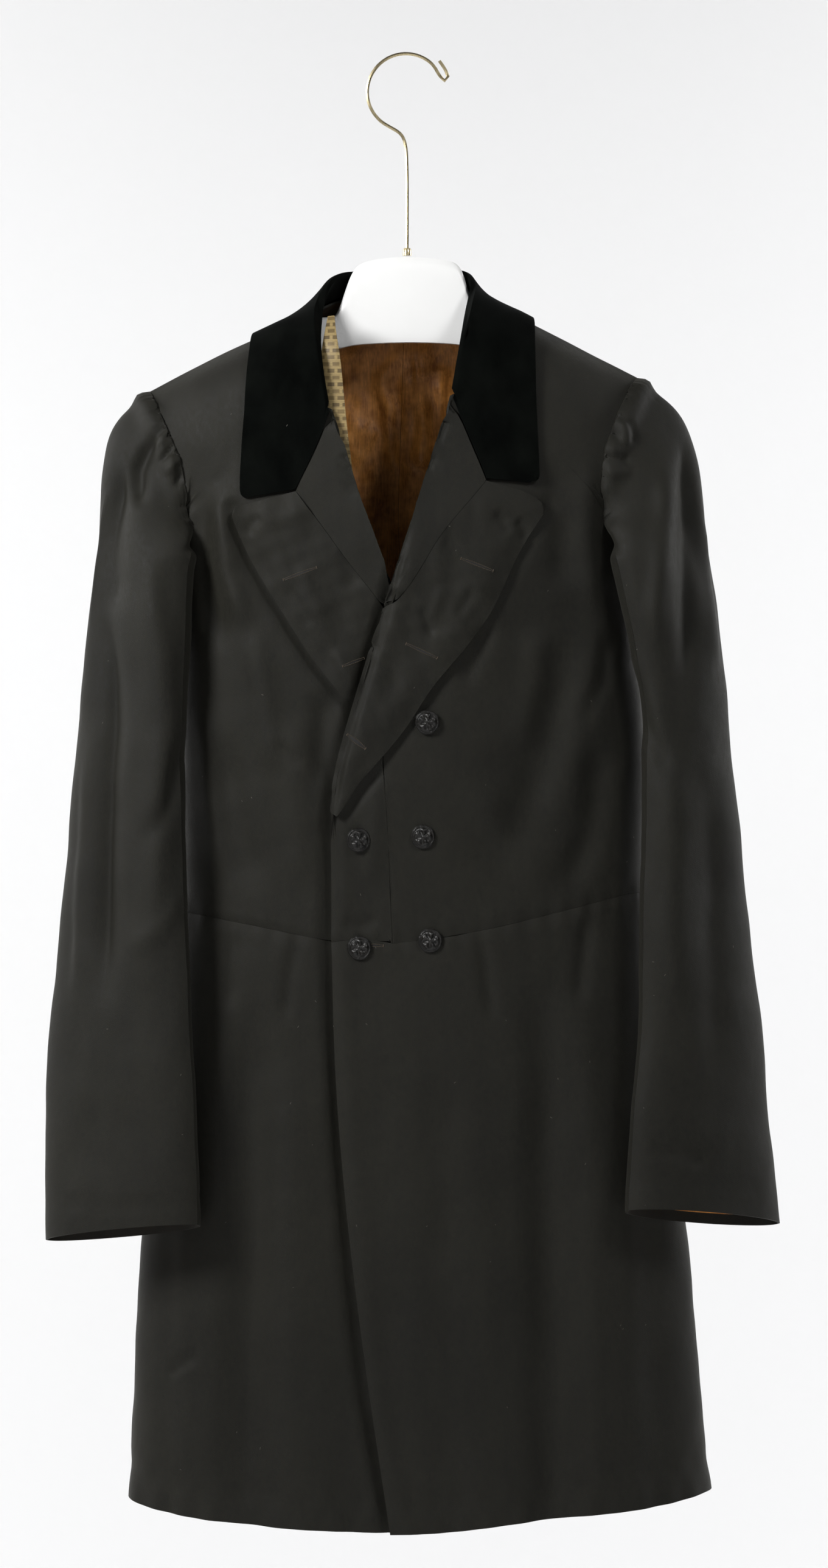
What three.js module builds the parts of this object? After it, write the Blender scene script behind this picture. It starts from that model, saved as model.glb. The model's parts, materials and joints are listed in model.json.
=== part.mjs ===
// Double-breasted overcoat with a velvet collar, hanging on a moulded hanger with a wire hook.
// Millimetres, +Z up, the wearer's front towards -Y, origin at the inside top of the hook's arc.
// "Left" and "right" are the sides of somebody who looks at the front: left is -X.
//
// Cloth pieces are walls. Most of them are cut from one body surface, on which a place is
// { t, w }: t degrees round from the front centre, w millimetres down the cloth from the shoulder
// ridge. A layer that lies on another one is the same surface, moved out along its normal.
import * as THREE from 'three';

// ---------------------------------------------------------------- driving sizes
const CLOTH = 1.8; // wool cloth
const VELVET = 2.0; // collar
const LINING = 1.0;
const SEAM = 0.3; // gap between two pieces at a seam
const LAY = 3.0; // how far a turned part lies out from the cloth under it
const ROLL = 2.6; // radius of the cloth's middle where a front turns back
const ROLL_ANGLE = 165; // degrees that the turned edge bends through
const ROLL_PUFF = 2.2; // how much further out a turned part stands beside its roll
const ROLL_PUFF_REACH = 14;
const ROUND = 2.3; // exponent of the body's rounded section
const RIDGE_DROP = 55; // height over which the shoulder rounds down to the full depth
const RIDGE_ARC = 88; // length of cloth over that height
const SHOULDER_END = { left: -212.5, right: 190.5 };
const BUTTON_WIDTH = 20;
const WIRE = 3;

const COLOURS = {
  wool: [0x2b2a28, 0.92, 0],
  velvet: [0x08090b, 0.98, 0],
  lining: [0x6e431f, 0.7, 0],
  pattern: [0xa3834d, 0.7, 0],
  button: [0x16161a, 0.55, 0],
  moulded: [0xe9e8e4, 0.4, 0],
  wire: [0xa89565, 0.3, 1],
};

// ---------------------------------------------------------------- small tools
const radians = (degrees) => (degrees * Math.PI) / 180;
const mix = (a, b, f) => a + (b - a) * f;
const smooth = (from, to, x) => {
  const f = Math.min(1, Math.max(0, (x - from) / (to - from)));
  return f * f * (3 - 2 * f);
};
const bell = (x, width) => Math.exp(-((x / width) ** 2));

// A smooth curve through one column of a table, whose rows are in the order of the key column.
function column(table, key, name, at) {
  const rows = table[0][key] < table[table.length - 1][key] ? table : [...table].reverse();
  const last = rows.length - 1;
  if (at <= rows[0][key]) return rows[0][name];
  if (at >= rows[last][key]) return rows[last][name];
  let i = 0;
  while (at > rows[i + 1][key]) i += 1;
  const slope = (k) => {
    const a = rows[Math.max(k - 1, 0)];
    const b = rows[Math.min(k + 1, last)];
    return (b[name] - a[name]) / (b[key] - a[key]);
  };
  const step = rows[i + 1][key] - rows[i][key];
  const f = (at - rows[i][key]) / step;
  const g = f * f * (3 - 2 * f);
  const h0 = f * (1 - f) ** 2 * step;
  const h1 = f * f * (f - 1) * step;
  return mix(rows[i][name], rows[i + 1][name], g) + slope(i) * h0 + slope(i + 1) * h1;
}

// ---------------------------------------------------------------- body surface
const BODY = [
  { z: -170, left: -232, right: 212, front: 60, back: 56 },
  { z: -300, left: -228, right: 208, front: 66, back: 58 },
  { z: -400, left: -204, right: 186, front: 70, back: 60 },
  { z: -450, left: -189, right: 184, front: 69, back: 58 },
  { z: -560, left: -186, right: 196, front: 66, back: 56 },
  { z: -730, left: -186, right: 198, front: 58, back: 50 },
  { z: -860, left: -206, right: 216, front: 62, back: 58 },
  { z: -1000, left: -219.5, right: 233, front: 66, back: 66 },
  { z: -1220, left: -229.5, right: 254, front: 72, back: 74 },
];

const SHOULDER = [
  { x: -240, z: -294 },
  { x: -212.5, z: -280.5 },
  { x: -153.5, z: -250 },
  { x: -122, z: -235.5 },
  { x: -100, z: -225.5 },
  { x: -75, z: -213 },
  { x: -58, z: -201 },
  { x: -30, z: -189 },
  { x: 0, z: -186 },
  { x: 28, z: -189 },
  { x: 52, z: -199 },
  { x: 75, z: -210.5 },
  { x: 100, z: -222.5 },
  { x: 153.5, z: -250 },
  { x: 190.5, z: -269 },
  { x: 240, z: -294 },
];

// Folds of the fronts and skirts, from one end to the other. A trough has a negative depth.
const FRONT_FOLDS = [
  { x0: 129, z0: -455, x1: 131, z1: -520, width: 13, depth: -4 },
  { x0: 130, z0: -520, x1: 98, z1: -625, width: 14, depth: -5 },
  { x0: 98, z0: -625, x1: 58, z1: -690, width: 13, depth: -3.5 },
  { x0: 150, z0: -420, x1: 158, z1: -600, width: 12, depth: 3 },
  { x0: -151, z0: -350, x1: -146, z1: -440, width: 12, depth: 3.5 },
  { x0: -146, z0: -440, x1: -122, z1: -505, width: 12, depth: 3 },
  { x0: -84, z0: -560, x1: -78, z1: -715, width: 20, depth: -3 },
  { x0: -126, z0: -800, x1: -128, z1: -1230, width: 17, depth: -7 },
  { x0: -88, z0: -860, x1: -80, z1: -1230, width: 20, depth: 4 },
  { x0: -178, z0: -900, x1: -184, z1: -1230, width: 16, depth: 4 },
  { x0: 112, z0: -780, x1: 118, z1: -1230, width: 18, depth: -7 },
  { x0: 60, z0: -900, x1: 64, z1: -1230, width: 22, depth: 4 },
  { x0: 172, z0: -860, x1: 186, z1: -1230, width: 18, depth: 4 },
];
const BACK_FOLDS = [
  { x0: -128, z0: -380, x1: -108, z1: -560, width: 16, depth: -4 },
  { x0: 116, z0: -380, x1: 98, z1: -560, width: 16, depth: -4 },
  { x0: -96, z0: -820, x1: -104, z1: -1230, width: 18, depth: -7 },
  { x0: -150, z0: -860, x1: -160, z1: -1230, width: 18, depth: 5 },
  { x0: 96, z0: -800, x1: 112, z1: -1230, width: 19, depth: -7 },
  { x0: 156, z0: -880, x1: 172, z1: -1230, width: 17, depth: 5 },
];
const FOLD_FADE = 0.28; // share of a fold's length over which each end dies out

function foldDepth(folds, x, z) {
  let depth = 0;
  for (const fold of folds) {
    const dx = fold.x1 - fold.x0;
    const dz = fold.z1 - fold.z0;
    const along = ((x - fold.x0) * dx + (z - fold.z0) * dz) / (dx * dx + dz * dz);
    const near = Math.min(1, Math.max(0, along));
    const away = Math.hypot(x - fold.x0 - near * dx, z - fold.z0 - near * dz);
    const begun = smooth(-FOLD_FADE, FOLD_FADE, along);
    const ended = smooth(1 - FOLD_FADE, 1 + FOLD_FADE, along);
    depth += fold.depth * bell(away, fold.width) * begun * (1 - ended);
  }
  return depth;
}

const ridgeHeight = (x) => column(SHOULDER, 'x', 'z', x);
const ridgeAngle = (w) => (Math.min(w, RIDGE_ARC) / RIDGE_ARC) * (Math.PI / 2);
const dropAt = (w) => RIDGE_DROP * (1 - Math.cos(ridgeAngle(w))) + Math.max(0, w - RIDGE_ARC);

function widths(z) {
  const left = column(BODY, 'z', 'left', z);
  const right = column(BODY, 'z', 'right', z);
  return { middle: (left + right) / 2, half: (right - left) / 2 };
}

// The point of the bare surface at a place, before folds.
function surface(t, w) {
  const sine = Math.sin(radians(t));
  const cosine = Math.cos(radians(t));
  const across = Math.sign(sine) * Math.abs(sine) ** (2 / ROUND);
  const deep = Math.abs(cosine) ** (2 / ROUND);
  let z = -300;
  let x = 0;
  for (let pass = 0; pass < 6; pass += 1) {
    const { middle, half } = widths(z);
    x = middle + half * across;
    z = ridgeHeight(x) - dropAt(w);
  }
  const depth = cosine > 0 ? -column(BODY, 'z', 'front', z) : column(BODY, 'z', 'back', z);
  return new THREE.Vector3(x, depth * deep * Math.sin(ridgeAngle(w)), z);
}

function outward(t, w) {
  const step = 0.5;
  const round = surface(t + step, w).sub(surface(t - step, w));
  const low = Math.max(w - step, 0);
  const down = surface(t, w + step).sub(surface(t, low));
  return down.cross(round).normalize();
}

// The point at a place, moved out from the surface, with the cloth's folds.
function onBody({ t, w }, out) {
  const point = surface(t, w);
  const folds = Math.cos(radians(t)) > 0 ? FRONT_FOLDS : BACK_FOLDS;
  return point.clone().addScaledVector(outward(t, w), out + foldDepth(folds, point.x, point.z));
}

// The place on the front that is seen at x and z from straight ahead, or the place behind it on
// the back, whose side says which way round t runs there.
function seenAt(x, z, backSide = 0) {
  const { middle, half } = widths(z);
  const across = Math.max(-1, Math.min(1, (x - middle) / half));
  const t = (Math.asin(Math.sign(across) * Math.abs(across) ** (ROUND / 2)) * 180) / Math.PI;
  const drop = Math.max(0, ridgeHeight(x) - z);
  const angle = Math.acos(Math.max(0, 1 - drop / RIDGE_DROP));
  const w = drop < RIDGE_DROP ? (angle / (Math.PI / 2)) * RIDGE_ARC : RIDGE_ARC + drop - RIDGE_DROP;
  return { t: backSide ? backSide * 180 - t : t, w };
}

// ---------------------------------------------------------------- grids and walls
const DEGREE = 3.4; // millimetres of cloth for a degree round the front
const span = (a, b) => Math.hypot((a.t - b.t) * DEGREE, a.w - b.w);

// cells + 1 places, evenly spaced along the line through the given ones.
function spread(places, cells) {
  const lengths = [0];
  for (let i = 1; i < places.length; i += 1) {
    lengths.push(lengths[i - 1] + span(places[i - 1], places[i]));
  }
  const result = [];
  for (let k = 0; k <= cells; k += 1) {
    const at = (lengths[lengths.length - 1] * k) / cells;
    let i = 0;
    while (i < places.length - 2 && at > lengths[i + 1]) i += 1;
    const f = Math.min(1, (at - lengths[i]) / (lengths[i + 1] - lengths[i]));
    result.push({ t: mix(places[i].t, places[i + 1].t, f), w: mix(places[i].w, places[i + 1].w, f) });
  }
  return result;
}

// One edge of a panel, from stretches that each have their own number of cells.
const edge = (...stretches) =>
  stretches.flatMap(([places, cells], i) => spread(places, cells).slice(i ? 1 : 0));

function fractions(places) {
  const sums = [0];
  for (let i = 1; i < places.length; i += 1) sums.push(sums[i - 1] + span(places[i - 1], places[i]));
  return sums.map((sum) => sum / sums[sums.length - 1]);
}

// Places all over a panel from its four edges. near and far run down, top and bottom run across.
function fill(near, far, top, bottom) {
  const down = fractions(near).map((f, i) => (f + fractions(far)[i]) / 2);
  const across = fractions(top).map((f, j) => (f + fractions(bottom)[j]) / 2);
  const part = (name, i, j) => {
    const v = down[i];
    const u = across[j];
    const sides = mix(near[i][name], far[i][name], u);
    const ends = mix(top[j][name], bottom[j][name], v);
    const first = mix(top[0][name], top[top.length - 1][name], u);
    const last = mix(bottom[0][name], bottom[bottom.length - 1][name], u);
    return sides + ends - mix(first, last, v);
  };
  return down.map((_, i) => across.map((__, j) => ({ t: part('t', i, j), w: part('w', i, j) })));
}

// The closed wall between two grids of points that have the same rows and columns.
function wall(outer, inner, closedRound = false) {
  const rows = outer.length;
  const columns = outer[0].length;
  const positions = [...outer.flat(), ...inner.flat()].flatMap((p) => [p.x, p.y, p.z]);
  const out = (i, j) => i * columns + (j % columns);
  const into = (i, j) => rows * columns + out(i, j);
  const faces = [];
  const quad = (a, b, c, d) => faces.push(a, b, c, a, c, d);
  const last = closedRound ? columns : columns - 1;
  for (let i = 0; i < rows - 1; i += 1) {
    for (let j = 0; j < last; j += 1) {
      quad(out(i, j), out(i + 1, j), out(i + 1, j + 1), out(i, j + 1));
      quad(into(i, j), into(i, j + 1), into(i + 1, j + 1), into(i + 1, j));
    }
  }
  for (let j = 0; j < last; j += 1) {
    quad(into(0, j), out(0, j), out(0, j + 1), into(0, j + 1));
    quad(out(rows - 1, j), into(rows - 1, j), into(rows - 1, j + 1), out(rows - 1, j + 1));
  }
  for (let i = 0; i < rows - 1 && !closedRound; i += 1) {
    quad(into(i, 0), into(i + 1, 0), out(i + 1, 0), out(i, 0));
    quad(out(i, last), out(i + 1, last), into(i + 1, last), into(i, last));
  }
  const geometry = new THREE.BufferGeometry();
  geometry.setAttribute('position', new THREE.Float32BufferAttribute(positions, 3));
  geometry.setIndex(faces);
  return outwardFacing(geometry);
}

function outwardFacing(geometry) {
  const points = geometry.getAttribute('position');
  const index = geometry.getIndex();
  const corner = (k) => new THREE.Vector3().fromBufferAttribute(points, index.getX(k));
  let volume = 0;
  for (let k = 0; k < index.count; k += 3) volume += corner(k).dot(corner(k + 1).cross(corner(k + 2)));
  if (volume < 0) {
    const flipped = [];
    for (let k = 0; k < index.count; k += 3) {
      flipped.push(index.getX(k), index.getX(k + 2), index.getX(k + 1));
    }
    geometry.setIndex(flipped);
  }
  geometry.computeVertexNormals();
  return geometry;
}

const coat = new THREE.Group();
function piece(name, colour, geometry) {
  const [color, roughness, metalness] = COLOURS[colour];
  const material = new THREE.MeshStandardMaterial({ color, roughness, metalness });
  const mesh = new THREE.Mesh(geometry, material);
  mesh.name = name;
  coat.add(mesh);
  return mesh;
}

// A panel's wall, from its places and the distance of its inner face from the surface.
const panel = (places, thickness, lift) =>
  wall(
    places.map((row) => row.map((place) => onBody(place, lift(place) + thickness))),
    places.map((row) => row.map((place) => onBody(place, lift(place)))),
  );

// A front's wall whose first column is bent round to the outside at the roll line. bends says for
// each row how much of the turn is made, from 0, flat, to 1.
const BEND_CELLS = 3;
const BEND_LENGTH = ROLL * radians(ROLL_ANGLE);
const ROLL_ROOM = 4.5; // flat cloth that a roll takes up beside its edge
function rolledPanel(places, bends, lift) {
  const outer = [];
  const inner = [];
  places.forEach((row, i) => {
    const start = onBody(row[0], lift(row[0]) + CLOTH / 2);
    const next = onBody(row[1], lift(row[1]) + CLOTH / 2);
    const normal = outward(row[0].t, row[0].w);
    const away = start.clone().sub(next);
    away.addScaledVector(normal, -away.dot(normal)).normalize();
    // Pull the start back, so that the bend's outermost point lies on the edge.
    const reach = mix(BEND_LENGTH, ROLL + CLOTH / 2, bends[i]);
    const root = start.clone().addScaledVector(away, -reach);
    const outerRow = [];
    const innerRow = [];
    for (let k = BEND_CELLS; k >= 1; k -= 1) {
      const length = (BEND_LENGTH * k) / BEND_CELLS;
      const turn = (bends[i] * length) / ROLL;
      const forward = turn > 1e-3 ? (length * Math.sin(turn)) / turn : length;
      const rise = turn > 1e-3 ? (length * (1 - Math.cos(turn))) / turn : 0;
      const middle = root.clone().addScaledVector(away, forward).addScaledVector(normal, rise);
      const face = normal.clone().multiplyScalar(Math.cos(turn)).addScaledVector(away, -Math.sin(turn));
      outerRow.push(middle.clone().addScaledVector(face, CLOTH / 2));
      innerRow.push(middle.clone().addScaledVector(face, -CLOTH / 2));
    }
    outerRow.push(root.clone().addScaledVector(normal, CLOTH / 2));
    innerRow.push(root.clone().addScaledVector(normal, -CLOTH / 2));
    row.slice(1).forEach((place) => {
      outerRow.push(onBody(place, lift(place) + CLOTH));
      innerRow.push(onBody(place, lift(place)));
    });
    outer.push(outerRow);
    inner.push(innerRow);
  });
  return wall(outer, inner);
}

// ---------------------------------------------------------------- lines of the cut, seen from the front
// Edge of each front at the neck, under the collar.
const NECK_LEFT = [
  { x: -76, z: -214 },
  { x: -77.5, z: -232 },
  { x: -76, z: -255 },
  { x: -73, z: -278 },
  { x: -69.5, z: -294 },
];
const NECK_RIGHT = [
  { x: 59, z: -203.5 },
  { x: 53, z: -230 },
  { x: 49.5, z: -250 },
  { x: 46, z: -270 },
  { x: 43.5, z: -283 },
];
// Roll line of each front, down to where the roll ends.
const ROLL_LEFT = [
  { x: -60.5, z: -298 },
  { x: -53.5, z: -317 },
  { x: -45, z: -344.5 },
  { x: -39.5, z: -365 },
  { x: -23, z: -407.5 },
  { x: -13, z: -434 },
  { x: 2, z: -492 },
  { x: 18, z: -558 },
  { x: 31, z: -612 },
  { x: 38, z: -660 },
];
const ROLL_RIGHT = [
  { x: 35.5, z: -287 },
  { x: 27, z: -317 },
  { x: 16, z: -350.5 },
  { x: 8.5, z: -378 },
  { x: -1, z: -407.5 },
  { x: -10, z: -433.5 },
  { x: -24.5, z: -479 },
  { x: -43, z: -541 },
  { x: -53.5, z: -576.5 },
  { x: -59.5, z: -603.5 },
  { x: -61.5, z: -637 },
];
const ROLL_END = { left: -612, right: -622 }; // height where the roll has died out
const ROLL_DIE = 22; // height over which it dies out
const ROLL_START = { from: -3, to: -13 }; // below its top, where the roll starts and is full

// The lapel strip's seam, on the part that isn't turned.
const STRIP_TOP = -491;
const STRIP_SEAM = [
  { x: -21, z: -470 },
  { x: -19.5, z: -584 },
  { x: -15, z: -641.5 },
  { x: -13, z: -699 },
  { x: -11.5, z: -733 },
];
const STRIP_FOOT = STRIP_SEAM[STRIP_SEAM.length - 1];
const STRIP_LAST = STRIP_SEAM[STRIP_SEAM.length - 2].z;
const WAIST = [
  { x: -210, z: -706 },
  { x: -179.5, z: -709 },
  { x: -109, z: -722 },
  { x: -83, z: -727.5 },
  { x: -61.5, z: -732.5 },
  { x: -18.5, z: -734 },
  { x: 31.5, z: -728 },
  { x: 60.5, z: -723 },
  { x: 116, z: -710 },
  { x: 181, z: -694 },
  { x: 215, z: -690 },
];
const HEM = [
  { x: -232, z: -1190 },
  { x: -215, z: -1196 },
  { x: -163, z: -1203.5 },
  { x: -103, z: -1208.5 },
  { x: -13, z: -1213 },
  { x: 28, z: -1212 },
  { x: 106, z: -1202.5 },
  { x: 199, z: -1194.5 },
  { x: 256, z: -1184 },
];
const ARMHOLE_LEFT = [
  { x: -212.5, z: -281 },
  { x: -206, z: -292 },
  { x: -199.5, z: -306 },
  { x: -186, z: -335 },
  { x: -179, z: -367 },
  { x: -183, z: -391 },
];
const ARMHOLE_RIGHT = [
  { x: 190.5, z: -269.5 },
  { x: 182, z: -283 },
  { x: 174, z: -300 },
  { x: 164, z: -325 },
  { x: 157.5, z: -357 },
  { x: 162, z: -385 },
];
const ARMHOLE_BACK = [
  { in: 0, down: 0.5 },
  { in: 7, down: 24 },
  { in: 11, down: 52 },
  { in: 12, down: 84 },
  { in: 8, down: 108 },
];
const UNDERARM = -404;
const SIDE_SEAM = { underarm: 92, waist: 112, hem: 122 }; // degrees round from the front centre
const SEAM_TURN = 0.45; // degrees from the side seam to the edge of each panel
const FRONT_EDGE = { waist: -61, skirtTop: -759, straight: -60.5, hem: -13 };
const UNDER_EDGE = { waist: 40, hem: 46 };

const waistHeight = (x) => column(WAIST, 'x', 'z', x);
const hemHeight = (x) => column(HEM, 'x', 'z', x);
const at = (table) => table.map(({ x, z }) => seenAt(x, z));

// A place at a height, on a line round the body at t degrees.
function placeAt(t, heightAt) {
  let z = -700;
  let x = 0;
  for (let pass = 0; pass < 6; pass += 1) {
    const { middle, half } = widths(z);
    const sine = Math.sin(radians(t));
    x = middle + half * Math.sign(sine) * Math.abs(sine) ** (2 / ROUND);
    z = heightAt(x);
  }
  return { t, w: RIDGE_ARC + (ridgeHeight(x) - z - RIDGE_DROP) };
}
const backHem = (x) => hemHeight(x) + 4;
const seamTurn = (side, z) => {
  const upper = smooth(UNDERARM, -700, z);
  const lower = smooth(-700, -1200, z);
  const flare = lower * (SIDE_SEAM.hem - SIDE_SEAM.waist);
  return side * (mix(SIDE_SEAM.underarm, SIDE_SEAM.waist, upper) + flare);
};

// ---------------------------------------------------------------- layers of the fronts
// The right front lies over the left one: how far out its inner face is.
const OVERLAP = { turned: 7.8, plain: 3.0, from: 44, to: 105 };
function overLift(place) {
  const { x, z } = surface(place.t, place.w);
  const below = smooth(-600, -690, z) * (OVERLAP.turned - OVERLAP.plain);
  const height = OVERLAP.turned * smooth(-320, -420, z) - below;
  return height * (1 - smooth(OVERLAP.from, OVERLAP.to, x));
}
const underLift = () => 0;

// A turned part stands further out beside its roll line.
function turnedLift(base, rollTable) {
  return (place) => {
    const { x, z } = surface(place.t, place.w);
    const away = Math.abs(x - column(rollTable, 'z', 'x', z));
    return base(place) + LAY + ROLL_PUFF * Math.exp(-away / ROLL_PUFF_REACH);
  };
}

// ---------------------------------------------------------------- foreparts
const FORE_COLUMNS = 10;

function sideEdge(side, armhole, armholeCells, sideCells) {
  const underarm = placeAt(side * SIDE_SEAM.underarm, () => UNDERARM);
  const below = [underarm];
  for (const f of [0.25, 0.5, 0.75, 1]) {
    const z = mix(UNDERARM, -700, f);
    const height = (x) => (f === 1 ? waistHeight(x) + SEAM / 2 : z);
    below.push(placeAt(seamTurn(side, z) - side * SEAM_TURN, height));
  }
  return edge([[...at(armhole), underarm], armholeCells], [below, sideCells]);
}

function topEdge(from, to, cells) {
  const places = [];
  for (let k = 0; k <= cells; k += 1) {
    const x = mix(from, to, k / cells);
    places.push(seenAt(x, ridgeHeight(x) - 0.01));
  }
  places.forEach((place) => {
    place.w = SEAM;
  });
  return places;
}

function lineDown(table, from, to) {
  const inside = table.filter(({ z }) => z < from - 1 && z > to + 1);
  const end = (z) => ({ x: column(table, 'z', 'x', z), z });
  return at([end(from), ...inside, end(to)]);
}

function bendsFor(rows, rollTop, rollEnd) {
  return rows.map((row) => {
    const { z } = surface(row[0].t, row[0].w);
    const begun = smooth(rollTop + ROLL_START.from, rollTop + ROLL_START.to, z);
    return begun * (1 - smooth(rollEnd, rollEnd - ROLL_DIE, z));
  });
}

function waistEdge(fromX, side, cells) {
  const start = seenAt(fromX, waistHeight(fromX) + SEAM / 2);
  const end = placeAt(seamTurn(side, -700) - side * SEAM_TURN, (x) => waistHeight(x) + SEAM / 2);
  const places = [];
  for (let k = 0; k <= cells; k += 1) {
    const t = mix(start.t, end.t, k / cells);
    places.push(placeAt(t, (x) => waistHeight(x) + SEAM / 2));
  }
  return places;
}

{
  const top = NECK_LEFT[0];
  const rollTop = ROLL_LEFT[0].z;
  const full = rollTop + ROLL_START.to;
  const waist = { x: UNDER_EDGE.waist, z: waistHeight(UNDER_EDGE.waist) + SEAM / 2 };
  const near = edge(
    [at(NECK_LEFT), 4],
    [at([NECK_LEFT.at(-1), ROLL_LEFT[0]]), 1],
    [lineDown(ROLL_LEFT, rollTop, full), 1],
    [lineDown(ROLL_LEFT, full, ROLL_END.left), 9],
    [[...lineDown(ROLL_LEFT, ROLL_END.left, ROLL_LEFT.at(-1).z), seenAt(waist.x, waist.z)], 3],
  );
  const far = sideEdge(-1, ARMHOLE_LEFT, 8, 10);
  near[0] = { ...near[0], w: SEAM };
  far[0] = { ...far[0], w: SEAM };
  const rows = fill(near, far, topEdge(top.x, SHOULDER_END.left, FORE_COLUMNS),
    waistEdge(waist.x, -1, FORE_COLUMNS));
  piece('forepart_left', 'wool', rolledPanel(rows, bendsFor(rows, rollTop, ROLL_END.left), underLift));
}

{
  const top = NECK_RIGHT[0];
  const rollTop = ROLL_RIGHT[0].z;
  const full = rollTop + ROLL_START.to;
  const waist = { x: STRIP_FOOT.x + SEAM, z: waistHeight(STRIP_FOOT.x) + SEAM / 2 };
  const seam = STRIP_SEAM.map(({ x, z }) => ({ x: x + SEAM, z }));
  const near = edge(
    [at(NECK_RIGHT), 4],
    [at([NECK_RIGHT.at(-1), ROLL_RIGHT[0]]), 1],
    [lineDown(ROLL_RIGHT, rollTop, full), 1],
    [lineDown(ROLL_RIGHT, full, STRIP_TOP), 6],
    [[seenAt(column(ROLL_RIGHT, 'z', 'x', STRIP_TOP), STRIP_TOP),
      seenAt(column(seam, 'z', 'x', STRIP_TOP - 3), STRIP_TOP - 3)], 1],
    [[...lineDown(seam, STRIP_TOP - 3, STRIP_LAST), seenAt(waist.x, waist.z)], 5],
  );
  const far = sideEdge(1, ARMHOLE_RIGHT, 8, 10);
  near[0] = { ...near[0], w: SEAM };
  far[0] = { ...far[0], w: SEAM };
  const rows = fill(near, far, topEdge(top.x, SHOULDER_END.right, FORE_COLUMNS),
    waistEdge(waist.x, 1, FORE_COLUMNS));
  const LAST_ROLLED = 12; // the row above the lapel strip's top
  const bends = bendsFor(rows, rollTop, HEM[0].z).map((bend, i) => (i <= LAST_ROLLED ? bend : 0));
  piece('forepart_right', 'wool', rolledPanel(rows, bends, overLift));
}

// The part of the right lapel strip that isn't turned, from its roll line to its seam.
{
  const from = STRIP_TOP - 3.6;
  const foot = (x) => seenAt(x, waistHeight(x) + 2 * SEAM);
  const near = edge(
    [lineDown(ROLL_RIGHT, from, ROLL_END.right), 6],
    [[...lineDown(ROLL_RIGHT, ROLL_END.right, ROLL_RIGHT.at(-1).z), foot(FRONT_EDGE.waist)], 4],
  );
  const far = edge([[...lineDown(STRIP_SEAM, from, STRIP_LAST), foot(STRIP_FOOT.x - SEAM)], 10]);
  const rows = near.map((start, i) => {
    const first = Math.max(1 / 4, ROLL_ROOM / span(start, far[i]));
    const inner = { t: mix(start.t, far[i].t, first), w: mix(start.w, far[i].w, first) };
    return [start, ...spread([inner, far[i]], 3)];
  });
  const bends = bendsFor(rows, ROLL_RIGHT[0].z, ROLL_END.right);
  piece('lapel_strip_right', 'wool', rolledPanel(rows, bends, overLift));
}

// ---------------------------------------------------------------- turned parts: facings and lapels
const EDGE_OF_ROLL = ROLL + CLOTH / 2 + 0.7; // from the roll's outermost point to the turned part
const GORGE = {
  left: [{ x: -60.5, z: -298 }, { x: -72, z: -329 }, { x: -89.5, z: -364 }],
  right: [{ x: 35.5, z: -287 }, { x: 53, z: -328 }, { x: 64.5, z: -355.5 }],
};
const LAPEL_SEAM = {
  left: [{ x: -89.5, z: -365 }, { x: -70.5, z: -390 }, { x: -44, z: -427 }, { x: -17, z: -462 }],
  right: [
    { x: 64.5, z: -356.5 },
    { x: 46, z: -379.5 },
    { x: 27.5, z: -400 },
    { x: 17, z: -419 },
    { x: 2.5, z: -443.5 },
    { x: -18, z: -471 },
  ],
};
const LAPEL_EDGE = {
  left: [
    { x: -142, z: -378 },
    { x: -133, z: -406 },
    { x: -119.5, z: -432.5 },
    { x: -93, z: -475 },
    { x: -46, z: -540 },
    { x: 2, z: -588 },
    { x: 27, z: -604 },
  ],
  right: [
    { x: 116.5, z: -375 },
    { x: 85.5, z: -425 },
    { x: 69, z: -462.5 },
    { x: 48.5, z: -491.5 },
    { x: 17, z: -528.5 },
    { x: -4, z: -566.5 },
    { x: -26.5, z: -587 },
    { x: -43, z: -611.5 },
    { x: -52, z: -619 },
  ],
};
const LAPEL_TOP = {
  left: [{ x: -90.5, z: -366 }, { x: -116, z: -371.5 }, { x: -142, z: -378 }],
  right: [{ x: 65.5, z: -357 }, { x: 91.5, z: -363.5 }, { x: 116.5, z: -375 }],
};

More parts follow.
